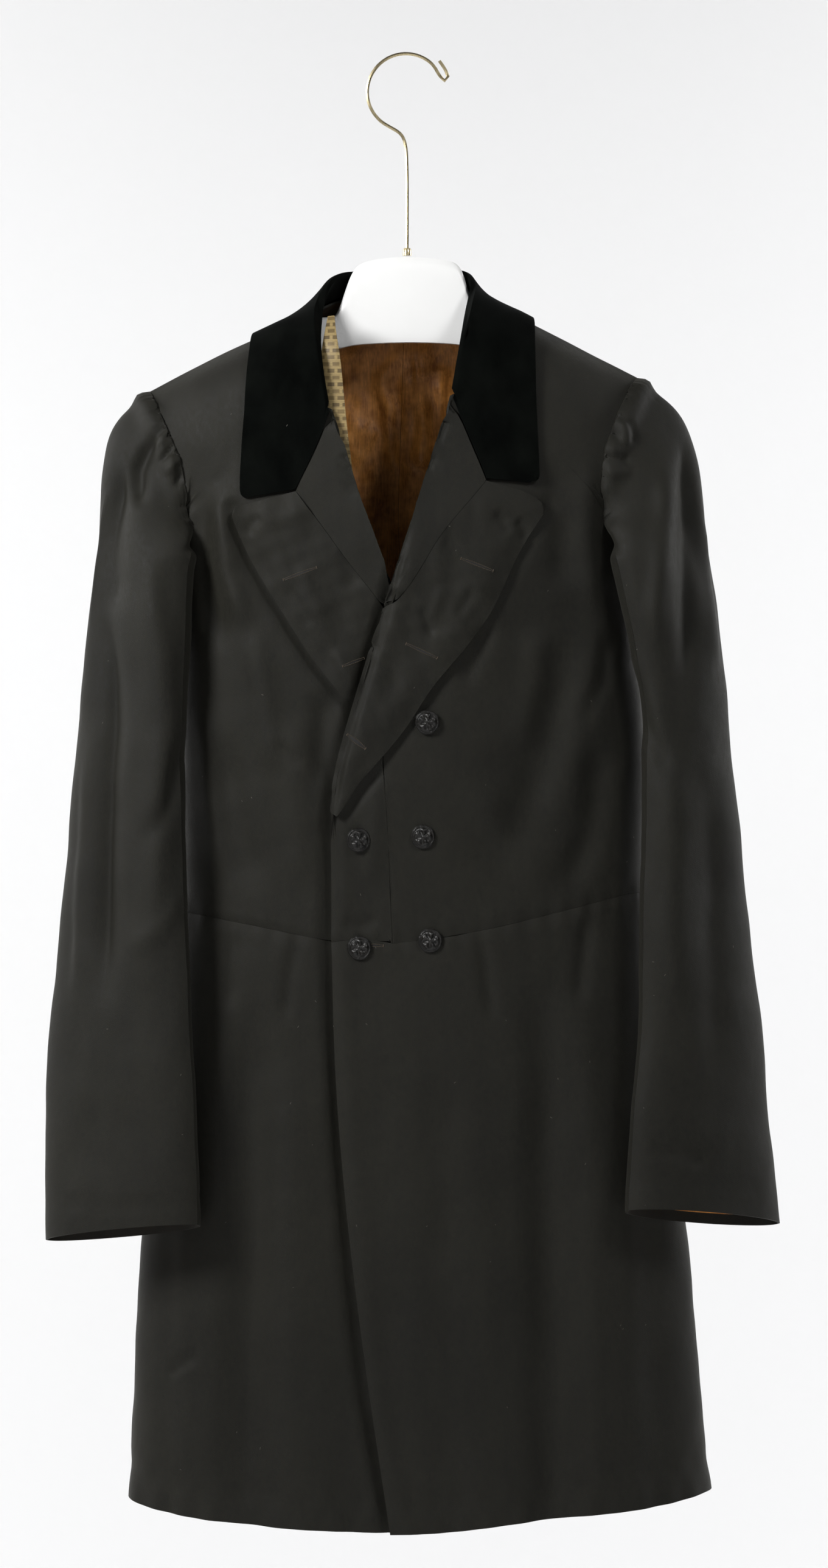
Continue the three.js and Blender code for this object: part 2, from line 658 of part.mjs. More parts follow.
// Heights where the facing ends at the roll, and where the lapel meets the roll and ends on it;
// reach is the share of the lapel seam's last cell that the facing goes along.
const TURNED_ENDS = {
  left: { facing: -452, reach: 1, meets: -460, lapel: -604 },
  right: { facing: -460, reach: 0.6, meets: -472, lapel: -617 },
};
const SEAM_SHIFT = 0.18; // degrees from the lapel seam to the facing's edge
function turnedParts(name, inwards, base, rollTable) {
  const ends = TURNED_ENDS[name];
  const lift = turnedLift(base, rollTable);
  const shift = (table, dx, dz = 0) => table.map(({ x, z }) => ({ x: x + dx, z: z + dz }));
  const roll = shift(rollTable, inwards * EDGE_OF_ROLL);
  const start = rollTable[0].z - 8;

  // Facing: between the roll line, the gorge and the lapel seam.
  const gorge = shift(GORGE[name], 0, -0.6);
  const seam = spread(at(LAPEL_SEAM[name]), 6);
  const beside = seam.map(({ t, w }) => ({ t: t - inwards * SEAM_SHIFT, w: w + 0.2 }));
  const upper = at([{ x: column(gorge, 'z', 'x', start - 1.5), z: start - 1.5 }, ...gorge.slice(1)]);
  const cell = beside.slice(-2);
  const foot = { t: mix(cell[0].t, cell[1].t, ends.reach), w: mix(cell[0].w, cell[1].w, ends.reach) };
  const far = [...spread(upper, 4), ...beside.slice(1, -1), foot];
  const near = edge([lineDown(roll, start, ends.facing), 10]);
  const facing = near.map((place, i) => spread([place, far[i]], 4));
  piece(`facing_${name}`, 'wool', panel(facing, CLOTH, lift));

  // Lapel: from its seam, and below that from the roll line, out to its own edge.
  const lapelNear = edge(
    [seam, 6],
    [[seam.at(-1), ...lineDown(roll, ends.meets, ends.lapel)], 7],
  );
  const lapelFar = edge([at(LAPEL_EDGE[name]), 13]);
  const lapelTop = edge([at([LAPEL_SEAM[name][0], ...LAPEL_TOP[name].slice(1)]), 6]);
  const lapelBottom = spread([lapelNear.at(-1), lapelFar.at(-1)], 6);
  const lapel = fill(lapelNear, lapelFar, lapelTop, lapelBottom);
  piece(`lapel_${name}`, 'wool', panel(lapel, CLOTH, lift));
}
turnedParts('left', -1, underLift, ROLL_LEFT);
turnedParts('right', 1, overLift, ROLL_RIGHT);

// ---------------------------------------------------------------- skirts
const SKIRT_ROWS = 10;
function skirt(name, side, frontEdge, lift, columns) {
  const top = (x) => waistHeight(x) - 1.5 * SEAM;
  const near = edge([frontEdge, SKIRT_ROWS]);
  const seam = [];
  for (let k = 0; k <= 6; k += 1) {
    const height = (x) => mix(top(x), hemHeight(x), k / 6);
    seam.push(placeAt(seamTurn(side, mix(-700, -1200, k / 6)) - side * SEAM_TURN, height));
  }
  const far = edge([seam, SKIRT_ROWS]);
  const ringAt = (height, from, to) => {
    const places = [];
    for (let k = 0; k <= columns; k += 1) places.push(placeAt(mix(from, to, k / columns), height));
    return places;
  };
  const waist = ringAt(top, near[0].t, far[0].t);
  const hem = ringAt(hemHeight, near.at(-1).t, far.at(-1).t);
  piece(name, 'wool', panel(fill(near, far, waist, hem), CLOTH, lift));
}
skirt('skirt_left', -1, at([
  { x: UNDER_EDGE.waist, z: waistHeight(UNDER_EDGE.waist) - 1.5 * SEAM },
  { x: UNDER_EDGE.hem, z: hemHeight(UNDER_EDGE.hem) },
]), underLift, 16);
skirt('skirt_right', 1, at([
  { x: FRONT_EDGE.straight, z: waistHeight(FRONT_EDGE.straight) - 1.5 * SEAM },
  { x: FRONT_EDGE.straight, z: FRONT_EDGE.skirtTop },
  { x: FRONT_EDGE.hem, z: hemHeight(FRONT_EDGE.hem) },
]), overLift, 18);

// ---------------------------------------------------------------- back
const BACK_NECK = { left: -76, right: 59, centre: -2, z: -199.5 };
function back(name, side) {
  const end = side < 0 ? SHOULDER_END.left : SHOULDER_END.right;
  const neck = side < 0 ? BACK_NECK.left : BACK_NECK.right;
  const centreX = BACK_NECK.centre + side * (SEAM / 2);
  const armhole = ARMHOLE_BACK.map((row) => ({ x: end - side * row.in, z: ridgeHeight(end) - row.down }));
  const underarm = placeAt(side * (SIDE_SEAM.underarm + SEAM_TURN), () => UNDERARM);
  const seam = [underarm];
  for (const z of [-480, -560, -640, -700, -800, -900, -1000, -1100]) {
    seam.push(placeAt(seamTurn(side, z) + side * SEAM_TURN, () => z));
  }
  seam.push(placeAt(seamTurn(side, -1200) + side * SEAM_TURN, backHem));
  const far = edge([[...armhole.map(({ x, z }) => seenAt(x, z, side)), underarm], 8], [seam, 12]);
  const line = (...heights) => heights.map((z) => seenAt(centreX, z, side));
  const near = edge(
    [line(BACK_NECK.z, -230, -270), 4],
    [line(-270, -400), 4],
    [line(-400, -560, -730), 6],
    [line(-730, -900, -1050, backHem(centreX)), 6],
  );
  const neckPlaces = [{ x: centreX, z: BACK_NECK.z }, { x: neck * 0.45, z: BACK_NECK.z - 0.5 },
    { x: neck * 0.8, z: BACK_NECK.z - 4 }].map(({ x, z }) => seenAt(x, z, side));
  const onRidge = (x) => ({ ...seenAt(x, ridgeHeight(x), side), w: SEAM });
  const ridge = [neck, mix(neck, end, 0.5), end].map(onRidge);
  const top = edge([[...neckPlaces, ridge[0]], 3], [ridge, 5]);
  const from = near.at(-1).t;
  const to = far.at(-1).t;
  const bottom = [];
  for (let k = 0; k <= 8; k += 1) bottom.push(placeAt(mix(from, to, k / 8), backHem));
  far[0] = top.at(-1);
  near[0] = top[0];
  piece(name, 'wool', panel(fill(near, far, top, bottom), CLOTH, underLift));
}
back('back_left', -1);
back('back_right', 1);

// The place at x, and w along the cloth from the shoulder ridge, negative at the back.
function placeOver(x, w) {
  const place = seenAt(x, ridgeHeight(x) - dropAt(Math.abs(w)), w < 0 ? Math.sign(x) : 0);
  return { t: place.t, w: Math.abs(w) };
}

// A point this far from the place behind it is beside the body, not on it.
const BESIDE = 30;

// Moves a point out until it is at least that far from the bare body surface.
function clearOfBody(point, distance) {
  for (let pass = 0; pass < 3; pass += 1) {
    const z = Math.min(point.z, ridgeHeight(point.x) - 0.05);
    const place = seenAt(point.x, z, point.y > 0 ? Math.sign(point.x) || 1 : 0);
    const normal = outward(place.t, place.w);
    const offset = point.clone().sub(surface(place.t, place.w));
    const height = offset.dot(normal);
    const beside = height > 0 && offset.length() > BESIDE;
    if (height < distance && !beside) point.addScaledVector(normal, distance - height);
  }
  return point;
}

// ---------------------------------------------------------------- sleeves
const CLEAR_OF_BODY = 0.7;
// One row for each section: both edges as seen from the front, the half depth, the y of the middle
// and how many degrees the section leans, its inner edge forward.
const SLEEVES = {
  left: [
    { z: -424, outer: -255, inner: -173.5, half: 27, y: -33, lean: 36 },
    { z: -520, outer: -267, inner: -179, half: 25, y: -34, lean: 34 },
    { z: -580, outer: -272.5, inner: -181, half: 24, y: -35, lean: 32 },
    { z: -709, outer: -284.5, inner: -179.5, half: 24, y: -38, lean: 29 },
    { z: -760, outer: -289.5, inner: -175.5, half: 24, y: -42, lean: 28 },
    { z: -838, outer: -296, inner: -172, half: 24, y: -47, lean: 27 },
    { z: -900, outer: -297.8, inner: -169, half: 25, y: -51, lean: 26 },
    { z: -980, outer: -296.5, inner: -166, half: 26, y: -54, lean: 25 },
  ],
  right: [
    { z: -424, outer: 251, inner: 168, half: 27, y: -33, lean: 36 },
    { z: -462, outer: 256.5, inner: 177, half: 26, y: -34, lean: 35 },
    { z: -531, outer: 263, inner: 190, half: 24, y: -35, lean: 33 },
    { z: -583, outer: 268, inner: 193, half: 24, y: -36, lean: 32 },
    { z: -759, outer: 286.5, inner: 189.5, half: 24, y: -42, lean: 29 },
    { z: -828, outer: 294.5, inner: 187.5, half: 24, y: -46, lean: 27 },
    { z: -900, outer: 300.5, inner: 180.5, half: 25, y: -51, lean: 26 },
    { z: -970, outer: 307.5, inner: 176, half: 26, y: -54, lean: 25 },
  ],
};
const CUFF = {
  left: { z: -969.5, edges: -9, faces: 4.5 },
  right: { z: -957, edges: -8, faces: 6 },
};
const HEAD = { rows: 5, lean: 0.32 };
const SLEEVE_ROWS = 11;
// Folds of the sleeves: a0 and a1 are degrees round from the outer edge, the front being 90.
const SLEEVE_FOLDS = {
  left: [
    { a0: 100, z0: -320, a1: 60, z1: -372, width: 9, depth: -4 },
    { a0: 60, z0: -335, a1: 62, z1: -470, width: 12, depth: -5 },
    { a0: 40, z0: -340, a1: 42, z1: -560, width: 12, depth: 3.5 },
    { a0: 120, z0: -430, a1: 130, z1: -640, width: 12, depth: 3 },
    { a0: 250, z0: -420, a1: 262, z1: -600, width: 13, depth: -4 },
  ],
  right: [
    { a0: 48, z0: -318, a1: 58, z1: -440, width: 11, depth: -5.5 },
    { a0: 58, z0: -440, a1: 128, z1: -535, width: 11, depth: -5 },
    { a0: 105, z0: -400, a1: 88, z1: -470, width: 14, depth: 4 },
    { a0: 250, z0: -420, a1: 262, z1: -600, width: 13, depth: -4 },
  ],
};
const GATHERS = { from: 28, to: 150, count: 7, depth: 1.3 }; // little puckers under the armhole seam

function sleeve(name, side) {
  const table = SLEEVES[name];
  const cuff = CUFF[name];
  const end = SHOULDER_END[name];
  const underarm = placeAt(side * SIDE_SEAM.underarm, () => UNDERARM);
  const front = [...at(name === 'left' ? ARMHOLE_LEFT : ARMHOLE_RIGHT), underarm];
  const behind = ARMHOLE_BACK.map((row) => seenAt(end - side * row.in, ridgeHeight(end) - row.down, side));
  const UNDER = 238; // degrees round at the underarm
  const ALONG = 24;
  const frontLine = spread(front, ALONG).map((place) => onBody(place, CLOTH / 2));
  const backLine = spread([...behind, underarm], ALONG).map((place) => onBody(place, CLOTH / 2));
  const seam = (degrees) => {
    const a = (degrees + 360) % 360;
    const f = a <= UNDER ? a / UNDER : (360 - a) / (360 - UNDER);
    const line = a <= UNDER ? frontLine : backLine;
    const k = Math.min(ALONG - 1, Math.floor(f * ALONG));
    return line[k].clone().lerp(line[k + 1], f * ALONG - k);
  };
  const ring = (a, z) => {
    const value = (key) => column(table, 'z', key, z);
    const lean = radians(value('lean'));
    const half = Math.abs(value('outer') - value('inner')) / 2;
    const b = value('half');
    const long = Math.sqrt(half ** 2 - (b * Math.sin(lean)) ** 2) / Math.cos(lean);
    const along = -long * Math.cos(radians(a));
    const across = b * Math.sin(radians(a));
    return new THREE.Vector3(
      (value('outer') + value('inner')) / 2 - side * Math.cos(lean) * along + side * Math.sin(lean) * across,
      value('y') - Math.sin(lean) * along - Math.cos(lean) * across,
      z,
    );
  };
  const start = table[0].z;
  const cuffZ = (a) => cuff.z + cuff.edges * Math.cos(radians(a)) + cuff.faces * Math.sin(radians(a));
  // v runs from 0 at the armhole over 1 at the first section to 2 at the cuff.
  const bare = (a, v) => {
    const clearance = mix(CLOTH / 2, CLOTH * 1.5 + CLEAR_OF_BODY, smooth(0, 0.25, v));
    return clearOfBody(unhindered(a, v), clearance);
  };
  const topness = (a) => (1 + Math.cos(radians(a))) / 2;
  const headReach = (a) => mix(0.8, 1.25, topness(a));
  const unhindered = (a, v) => {
    if (v >= 1) return ring(a, mix(start, cuffZ(a), v - 1));
    const from = seam(a);
    const to = ring(a, start);
    const top = topness(a);
    const length = from.distanceTo(to);
    const leave = new THREE.Vector3(side, 0, -HEAD.lean - (1 - top) * 0.8).normalize();
    const arrive = ring(a, start - 20).sub(to).normalize();
    leave.multiplyScalar(length * headReach(a));
    arrive.multiplyScalar(length * mix(1.0, 1.5, top));
    const f = v;
    const h1 = 2 * f ** 3 - 3 * f ** 2 + 1;
    const h2 = f ** 3 - 2 * f ** 2 + f;
    const h3 = -2 * f ** 3 + 3 * f ** 2;
    const h4 = f ** 3 - f ** 2;
    from.multiplyScalar(h1).addScaledVector(leave, h2);
    return from.addScaledVector(to, h3).addScaledVector(arrive, h4);
  };
  const normalAt = (a, v) => {
    const round = bare(a + 1.5, v).sub(bare(a - 1.5, v));
    const down = bare(a, v + 0.01).sub(bare(a, Math.max(0, v - 0.01)));
    return round.cross(down).multiplyScalar(side).normalize();
  };
  const DEGREE_OF_SLEEVE = 0.9;
  const folded = (a, v, out) => {
    const point = bare(a, v);
    let depth = 0;
    for (const fold of SLEEVE_FOLDS[name]) {
      const da = (fold.a1 - fold.a0) * DEGREE_OF_SLEEVE;
      const dz = fold.z1 - fold.z0;
      const pa = (a - fold.a0) * DEGREE_OF_SLEEVE;
      const pz = point.z - fold.z0;
      const along = (pa * da + pz * dz) / (da * da + dz * dz);
      const near = Math.min(1, Math.max(0, along));
      const away = Math.hypot(pa - near * da, pz - near * dz);
      const ended = smooth(0.75, 1.3, along);
      depth += fold.depth * bell(away, fold.width) * smooth(-0.3, 0.25, along) * (1 - ended);
    }
    const { from, to, count } = GATHERS;
    const inside = smooth(from - 12, from, a) * (1 - smooth(to, to + 12, a));
    const wave = Math.sin(((a - from) / (to - from)) * count * 2 * Math.PI);
    depth *= smooth(0, 0.35, v) * (1 - smooth(1.85, 2, v));
    depth += GATHERS.depth * wave * inside * smooth(0, 0.12, v) * (1 - smooth(0.3, 0.7, v));
    return point.addScaledVector(normalAt(a, v), out + depth);
  };
  // The first row stays clear of the body panel's edge by this much.
  const START_GAP = 3.3;
  const first = (a) => START_GAP / (seam(a).distanceTo(ring(a, start)) * headReach(a));
  const heights = [];
  for (let k = 0; k <= HEAD.rows; k += 1) heights.push((a) => mix(first(a), 1, k / HEAD.rows));
  for (let k = 1; k <= SLEEVE_ROWS; k += 1) heights.push(() => 1 + k / SLEEVE_ROWS);
  const tube = (label, from, to, cells) => {
    const angles = [];
    for (let k = 0; k <= cells; k += 1) angles.push(mix(from, to, k / cells));
    const layer = (out) => heights.map((height) => angles.map((a) => folded(a, height(a), out)));
    piece(label, 'wool', wall(layer(CLOTH / 2), layer(-CLOTH / 2)));
  };
  const FRONT_SEAM = 174; // degrees round, the hind seam being opposite
  const HIND_SEAM = 288;
  const FRONT_GAP = 1.1; // degrees to each side of a seam
  const HIND_GAP = 0.9;
  tube(`topsleeve_${name}`, HIND_SEAM - 360 + HIND_GAP, FRONT_SEAM - FRONT_GAP, 15);
  tube(`undersleeve_${name}`, FRONT_SEAM + FRONT_GAP, HIND_SEAM - HIND_GAP, 7);

  // Lining, seen inside the cuff: a short tube, set back from the edge.
  const LINING_DEPTH = 50;
  const SET_BACK = 9;
  const GAP = 0.8;
  const angles = Array.from({ length: 20 }, (_, k) => (k * 360) / 20);
  const liningLayer = (out) => [0, 0.5, 1].map((f) => angles.map((a) => {
    const total = start - cuffZ(a);
    const v = 2 - (SET_BACK + f * LINING_DEPTH) / total;
    return folded(a, v, out);
  }));
  const clear = CLOTH / 2 + GAP;
  piece(`cuff_lining_${name}`, 'lining', wall(liningLayer(-clear), liningLayer(-clear - LINING), true));
}
sleeve('left', -1);
sleeve('right', 1);

// ---------------------------------------------------------------- collar
// One row for each section. Places are given by x and by w along the cloth from the shoulder
// ridge, negative at the back. seam is where the collar is sewn on, edge its outer edge.
const COLLAR_FOLD = 2.6; // radius of the velvet's middle at the fold
// Each end lies flat beside the front's own roll line.
const COLLAR_END_LEFT = [
  { seamX: -90, seamZ: -363.2, edgeX: -134, edgeZ: -370.5 },
  { seamX: -81.4, seamZ: -346, edgeX: -135, edgeZ: -358 },
  { seamX: -72.8, seamZ: -328, edgeX: -134, edgeZ: -338 },
  { seamX: -66.6, seamZ: -312, edgeX: -133, edgeZ: -318 },
  { seamX: -62.2, seamZ: -300, edgeX: -131.5, edgeZ: -302 },
];
const COLLAR_END_RIGHT = [
  { seamX: 37.5, seamZ: -289.5, edgeX: 105.6, edgeZ: -297 },
  { seamX: 44.8, seamZ: -306, edgeX: 106.2, edgeZ: -313 },
  { seamX: 53.8, seamZ: -327, edgeX: 107, edgeZ: -332 },
  { seamX: 59.7, seamZ: -341, edgeX: 107.6, edgeZ: -346 },
  { seamX: 65, seamZ: -354.5, edgeX: 108, edgeZ: -358.5 },
];
// Between them it stands up and folds over. The fold's middle is x and z on the front, or x, y, z.
const COLLAR_ROUND = [
  { seamX: -70, seamW: 115, edgeX: -130.8, edgeW: 85, fold: [-66.5, -292] },
  { seamX: -74, seamW: 90, edgeX: -129, edgeW: 65, fold: [-70.5, -270] },
  { seamX: -77, seamW: 64, edgeX: -126, edgeW: 43, fold: [-72.5, -244] },
  { seamX: -78, seamW: 43, edgeX: -123.5, edgeW: 24, fold: [-72.3, -33, -224] },
  { seamX: -77.5, seamW: 25, edgeX: -122, edgeW: 6, fold: [-71, -22, -209] },
  { seamX: -76.5, seamW: 8, edgeX: -120, edgeW: -12, fold: [-68.5, -10, -197] },
  { seamX: -73, seamW: -3, edgeX: -116, edgeW: -30, fold: [-64.5, -1, -188.5] },
  { seamX: -64, seamW: -7, edgeX: -108, edgeW: -48, fold: [-58, 9, -182.5] },
  { seamX: -50, seamW: -20, edgeX: -92, edgeW: -68, fold: [-47, 19, -180] },
  { seamX: -27, seamW: -36, edgeX: -55, edgeW: -94, fold: [-27, 28, -179.5] },
  { seamX: -4, seamW: -40, edgeX: -5, edgeW: -108, fold: [-5, 31, -179.5] },
  { seamX: 20, seamW: -37, edgeX: 42, edgeW: -94, fold: [20, 28, -179.5] },
  { seamX: 40, seamW: -20, edgeX: 74, edgeW: -68, fold: [39, 18.5, -179] },
  { seamX: 51, seamW: -8, edgeX: 89, edgeW: -47, fold: [49.5, 9, -180] },
  { seamX: 57, seamW: -4, edgeX: 96, edgeW: -29, fold: [54, -1, -185.5] },
  { seamX: 60, seamW: 8, edgeX: 99.5, edgeW: -11, fold: [55.5, -11, -194] },
  { seamX: 60.5, seamW: 25, edgeX: 100.5, edgeW: 7, fold: [54, -23, -205] },
  { seamX: 58, seamW: 45, edgeX: 101, edgeW: 25, fold: [51, -36, -218] },
  { seamX: 54, seamW: 71, edgeX: 102.5, edgeW: 48, fold: [47.5, -238] },
  { seamX: 49.5, seamW: 95, edgeX: 104, edgeW: 72, fold: [44, -260] },
  { seamX: 44.3, seamW: 118, edgeX: 105, edgeW: 93, fold: [40.5, -281] },
];
const COLLAR = [...COLLAR_END_LEFT, ...COLLAR_ROUND, ...COLLAR_END_RIGHT];
const COLLAR_FOOT = 3; // from the neck's edge to the collar's foot
const COLLAR_RISE = 1.7; // how much further out the collar lies round the neck
const COLLAR_CELLS = 6; // across the fall

{
  const middle = COLLAR.map((row) => {
    const sign = Math.sign(row.seamX);
    const edgePlace = row.fold ? placeOver(row.edgeX, row.edgeW) : seenAt(row.edgeX, row.edgeZ);
    const away = outward(edgePlace.t, edgePlace.w);
    const stand = row.fold ? mix(0, COLLAR_RISE, smooth(100, 50, row.edgeW)) : 0;
    const under = sign < 0 ? underLift : overLift;
    const base = LAY + stand + VELVET / 2 + (row.fold ? 0 : under(edgePlace));
    const rim = onBody(edgePlace, base);
    const points = [];
    let start;
    let crest;
    if (row.fold) {
      const [foldX, foldY] = row.fold;
      const centre = row.fold.length === 3 ? new THREE.Vector3(...row.fold)
        : onBody(seenAt(foldX, foldY), base - COLLAR_FOLD);
      const seamZ = ridgeHeight(row.seamX) - dropAt(row.seamW);
      const neck = column(sign < 0 ? NECK_LEFT : NECK_RIGHT, 'z', 'x', seamZ);
      const seam = onBody(placeOver(row.seamW > 0 ? neck : row.seamX, row.seamW), CLOTH / 2);
      crest = centre.clone().sub(seam.clone().lerp(rim, 0.2)).normalize();
      const outer = away.clone().addScaledVector(crest, -away.dot(crest)).normalize();
      const bend = (degrees) => centre.clone()
        .addScaledVector(outer, -COLLAR_FOLD * Math.cos(radians(degrees)))
        .addScaledVector(crest, COLLAR_FOLD * Math.sin(radians(degrees)));
      const foot = seam.clone().addScaledVector(bend(0).sub(seam).normalize(), COLLAR_FOOT);
      points.push(foot, foot.clone().lerp(bend(0), 0.5), bend(20), bend(90), bend(160));
      start = bend(180);
    } else {
      const rollTable = sign < 0 ? ROLL_LEFT : ROLL_RIGHT;
      const seamPlace = seenAt(row.seamX, row.seamZ);
      start = onBody(seamPlace, turnedLift(under, rollTable)(seamPlace) + VELVET / 2);
      crest = start.clone().sub(rim).normalize();
      for (let k = 0; k < 5; k += 1) points.push(start.clone().addScaledVector(crest, -k * 0.9));
      start = start.clone().addScaledVector(crest, -4.5);
    }
    const length = start.distanceTo(rim);
    const towards = start.clone().sub(rim);
    towards.addScaledVector(away, -towards.dot(away)).normalize();
    const c1 = start.clone().addScaledVector(crest, -length * 0.33);
    const c2 = rim.clone().addScaledVector(towards, length * 0.33);
    const fall = new THREE.CubicBezierCurve3(start, c1, c2, rim);
    for (let k = 0; k <= COLLAR_CELLS; k += 1) {
      points.push(clearOfBody(fall.getPoint(k / COLLAR_CELLS), base));
    }
    return points;
  });
  const normals = middle.map((row, i) => row.map((_, j) => {
    const before = middle[Math.max(0, i - 1)][j];
    const after = middle[Math.min(middle.length - 1, i + 1)][j];
    const left = row[Math.max(0, j - 1)];
    const right = row[Math.min(row.length - 1, j + 1)];
    return after.clone().sub(before).cross(right.clone().sub(left)).normalize();
  }));
  const moved = (p, normal, out) => p.clone().addScaledVector(normal, out);
  const layer = (out) => middle.map((row, i) => row.map((p, j) => moved(p, normals[i][j], out)));
  piece('collar', 'velvet', wall(layer(VELVET / 2), layer(-VELVET / 2)));
}

// ---------------------------------------------------------------- lining that shows in the neck
const BACK_LINING = { top: -216, bottom: -455, left: -108, right: 88, out: -3.4 };
for (const [name, side, to] of [['left', -1, BACK_LINING.left], ['right', 1, BACK_LINING.right]]) {
  const from = BACK_NECK.centre + side * (SEAM / 2);
  const topOf = (x) => Math.min(BACK_LINING.top, ridgeHeight(x) - 12);
  const line = (x, cells) => spread([seenAt(x, topOf(x), side), seenAt(x, BACK_LINING.bottom, side)], cells);
  const rows = [];
  for (let k = 0; k <= 5; k += 1) rows.push(line(mix(from, to, k / 5), 8));
  piece(`back_lining_${name}`, 'lining', panel(rows, LINING, () => BACK_LINING.out));
}

// The patterned strip along the inside of the left front's edge.
const STRIP = [
  { z: -216, in: -67, out: -61 },
  { z: -232, in: -69, out: -59 },
  { z: -251, in: -71, out: -54.5 },
  { z: -281, in: -72, out: -51.5 },
  { z: -317, in: -68, out: -48 },
  { z: -350, in: -62, out: -43.5 },
];
{
  const lift = (place) => mix(-5.2, -1.6, smooth(-285, -315, surface(place.t, place.w).z));
  const rows = STRIP.map((row) => spread([seenAt(row.out, row.z), seenAt(row.in, row.z)], 3));
  piece('lining_strip_left', 'pattern', panel(rows, LINING, lift));
}

// ---------------------------------------------------------------- hanger
// Sections across the moulded body: a plate in the neck and an arm under each shoulder.
const UNDER_CLOTH = 1.5; // from the shoulder ridge down to the top of an arm
const HANGER = [
  { x: -198, top: -280, bottom: -294, deep: 7 },
  { x: -192, top: -274.5, bottom: -299, deep: 9 },
  { x: -150, top: null, bottom: -284, deep: 11 },
  { x: -100, top: null, bottom: -259, deep: 9 },
  { x: -78, top: null, bottom: -248, deep: 7 },
  { x: -60, top: -217, bottom: -243.5, deep: 6.5 },
  { x: -55, top: -209, bottom: -242.5, deep: 6 },
  { x: -49, top: -189, bottom: -241, deep: 6 },
  { x: -44, top: -177.5, bottom: -240, deep: 6 },
  { x: -36, top: -169.5, bottom: -239, deep: 6 },
  { x: 0, top: -166, bottom: -237.2, deep: 6 },
  { x: 36, top: -169.5, bottom: -238.5, deep: 6 },
  { x: 43, top: -173, bottom: -239.5, deep: 6 },
  { x: 47, top: -180, bottom: -240, deep: 6 },
  { x: 51, top: -195, bottom: -241, deep: 6 },
  { x: 58, top: -212, bottom: -242, deep: 6.5 },
  { x: 82, top: null, bottom: -250, deep: 8 },
  { x: 140, top: null, bottom: -278, deep: 11 },
  { x: 172, top: -263.5, bottom: -290, deep: 9 },
  { x: 178, top: -268, bottom: -286, deep: 7 },
];
{
  // Section: a rectangle with rounded corners, one row for each corner point, as shares of its
  // half depth and of its height from the middle.
  const SECTION = [
    [-0.25, 1], [-0.7, 0.87], [-1, 0.7], [-1, -0.8], [-0.6, -1],
    [0.6, -1], [1, -0.8], [1, 0.7], [0.7, 0.87], [0.25, 1],
  ];
  const rings = HANGER.map((row) => {
    const top = row.top ?? ridgeHeight(row.x) - UNDER_CLOTH;
    const half = (top - row.bottom) / 2;
    const middle = (top + row.bottom) / 2;
    return SECTION.map(([deep, high]) => new THREE.Vector3(row.x, deep * row.deep, middle + high * half));
  });
  const positions = rings.flat().flatMap((p) => [p.x, p.y, p.z]);
  const n = SECTION.length;
  const faces = [];
  for (let i = 0; i < rings.length - 1; i += 1) {
    for (let j = 0; j < n; j += 1) {
      const a = i * n + j;
      const b = i * n + ((j + 1) % n);
      faces.push(a, b, b + n, a, b + n, a + n);
    }
  }
  for (let j = 1; j < n - 1; j += 1) {
    const last = (rings.length - 1) * n;
    faces.push(0, j + 1, j, last, last + j, last + j + 1);
  }
  const geometry = new THREE.BufferGeometry();
  geometry.setAttribute('position', new THREE.Float32BufferAttribute(positions, 3));
  geometry.setIndex(faces);
  piece('hanger_body', 'moulded', outwardFacing(geometry));
}

// The hook: a stem, an arc round the hang point's rod, and a small bent-back end.
const HOOK = { radius: 32, middle: { x: -0.5, z: -30.5 }, from: 208, to: 46 };
const PLATE_TOP = -166;
const STEM = [
  [0.5, PLATE_TOP + SEAM], [0.6, -130], [0.4, -92], [-0.8, -74], [-4, -65.5], [-12, -60.3], [-21.5, -54.5],
];
const HOOK_END = [
  [25.2, -13], [28.5, -18.6], [31.4, -21], [34.2, -19.6], [33.6, -14.5], [29.4, -7.6], [27.2, -4.6],
];
{
  const points = STEM.map(([x, z]) => new THREE.Vector3(x, 0, z));
  for (let k = 0; k <= 12; k += 1) {
    const angle = radians(mix(HOOK.from, HOOK.to, k / 12));
    const x = HOOK.middle.x + HOOK.radius * Math.cos(angle);
    points.push(new THREE.Vector3(x, 0, HOOK.middle.z + HOOK.radius * Math.sin(angle)));
  }
  points.push(...HOOK_END.map(([x, z]) => new THREE.Vector3(x, 0, z)));
  const section = new THREE.Shape();
  section.absarc(0, 0, WIRE / 2, 0, Math.PI * 2);
  const geometry = new THREE.ExtrudeGeometry(section, {
    steps: 52, curveSegments: 3, bevelEnabled: false, extrudePath: new THREE.CatmullRomCurve3(points),
  });
  piece('hanger_hook', 'wire', geometry);
  const ring = [[1.9, 0], [4, 0], [4, 3.5], [3, 6], [1.9, 6]].map(([r, z]) => new THREE.Vector2(r, z));
  const ferrule = piece('hook_ferrule', 'wire', new THREE.LatheGeometry([...ring, ring[0]], 12));
  ferrule.rotation.x = Math.PI / 2;
  ferrule.position.set(0.5, 0, PLATE_TOP + SEAM);
}

// ---------------------------------------------------------------- buttons
const BUTTONS = [
  { name: 'button_right_1', x: 17, z: -552.5, tip: 0 },
  { name: 'button_right_2', x: 13.5, z: -645.5, tip: 0 },
  { name: 'button_right_3', x: 19.5, z: -730.5, tip: 0 },
  { name: 'button_left_1', x: -38.5, z: -648, tip: 9 },
  { name: 'button_left_2', x: -38, z: -736.5, tip: 0 },
];
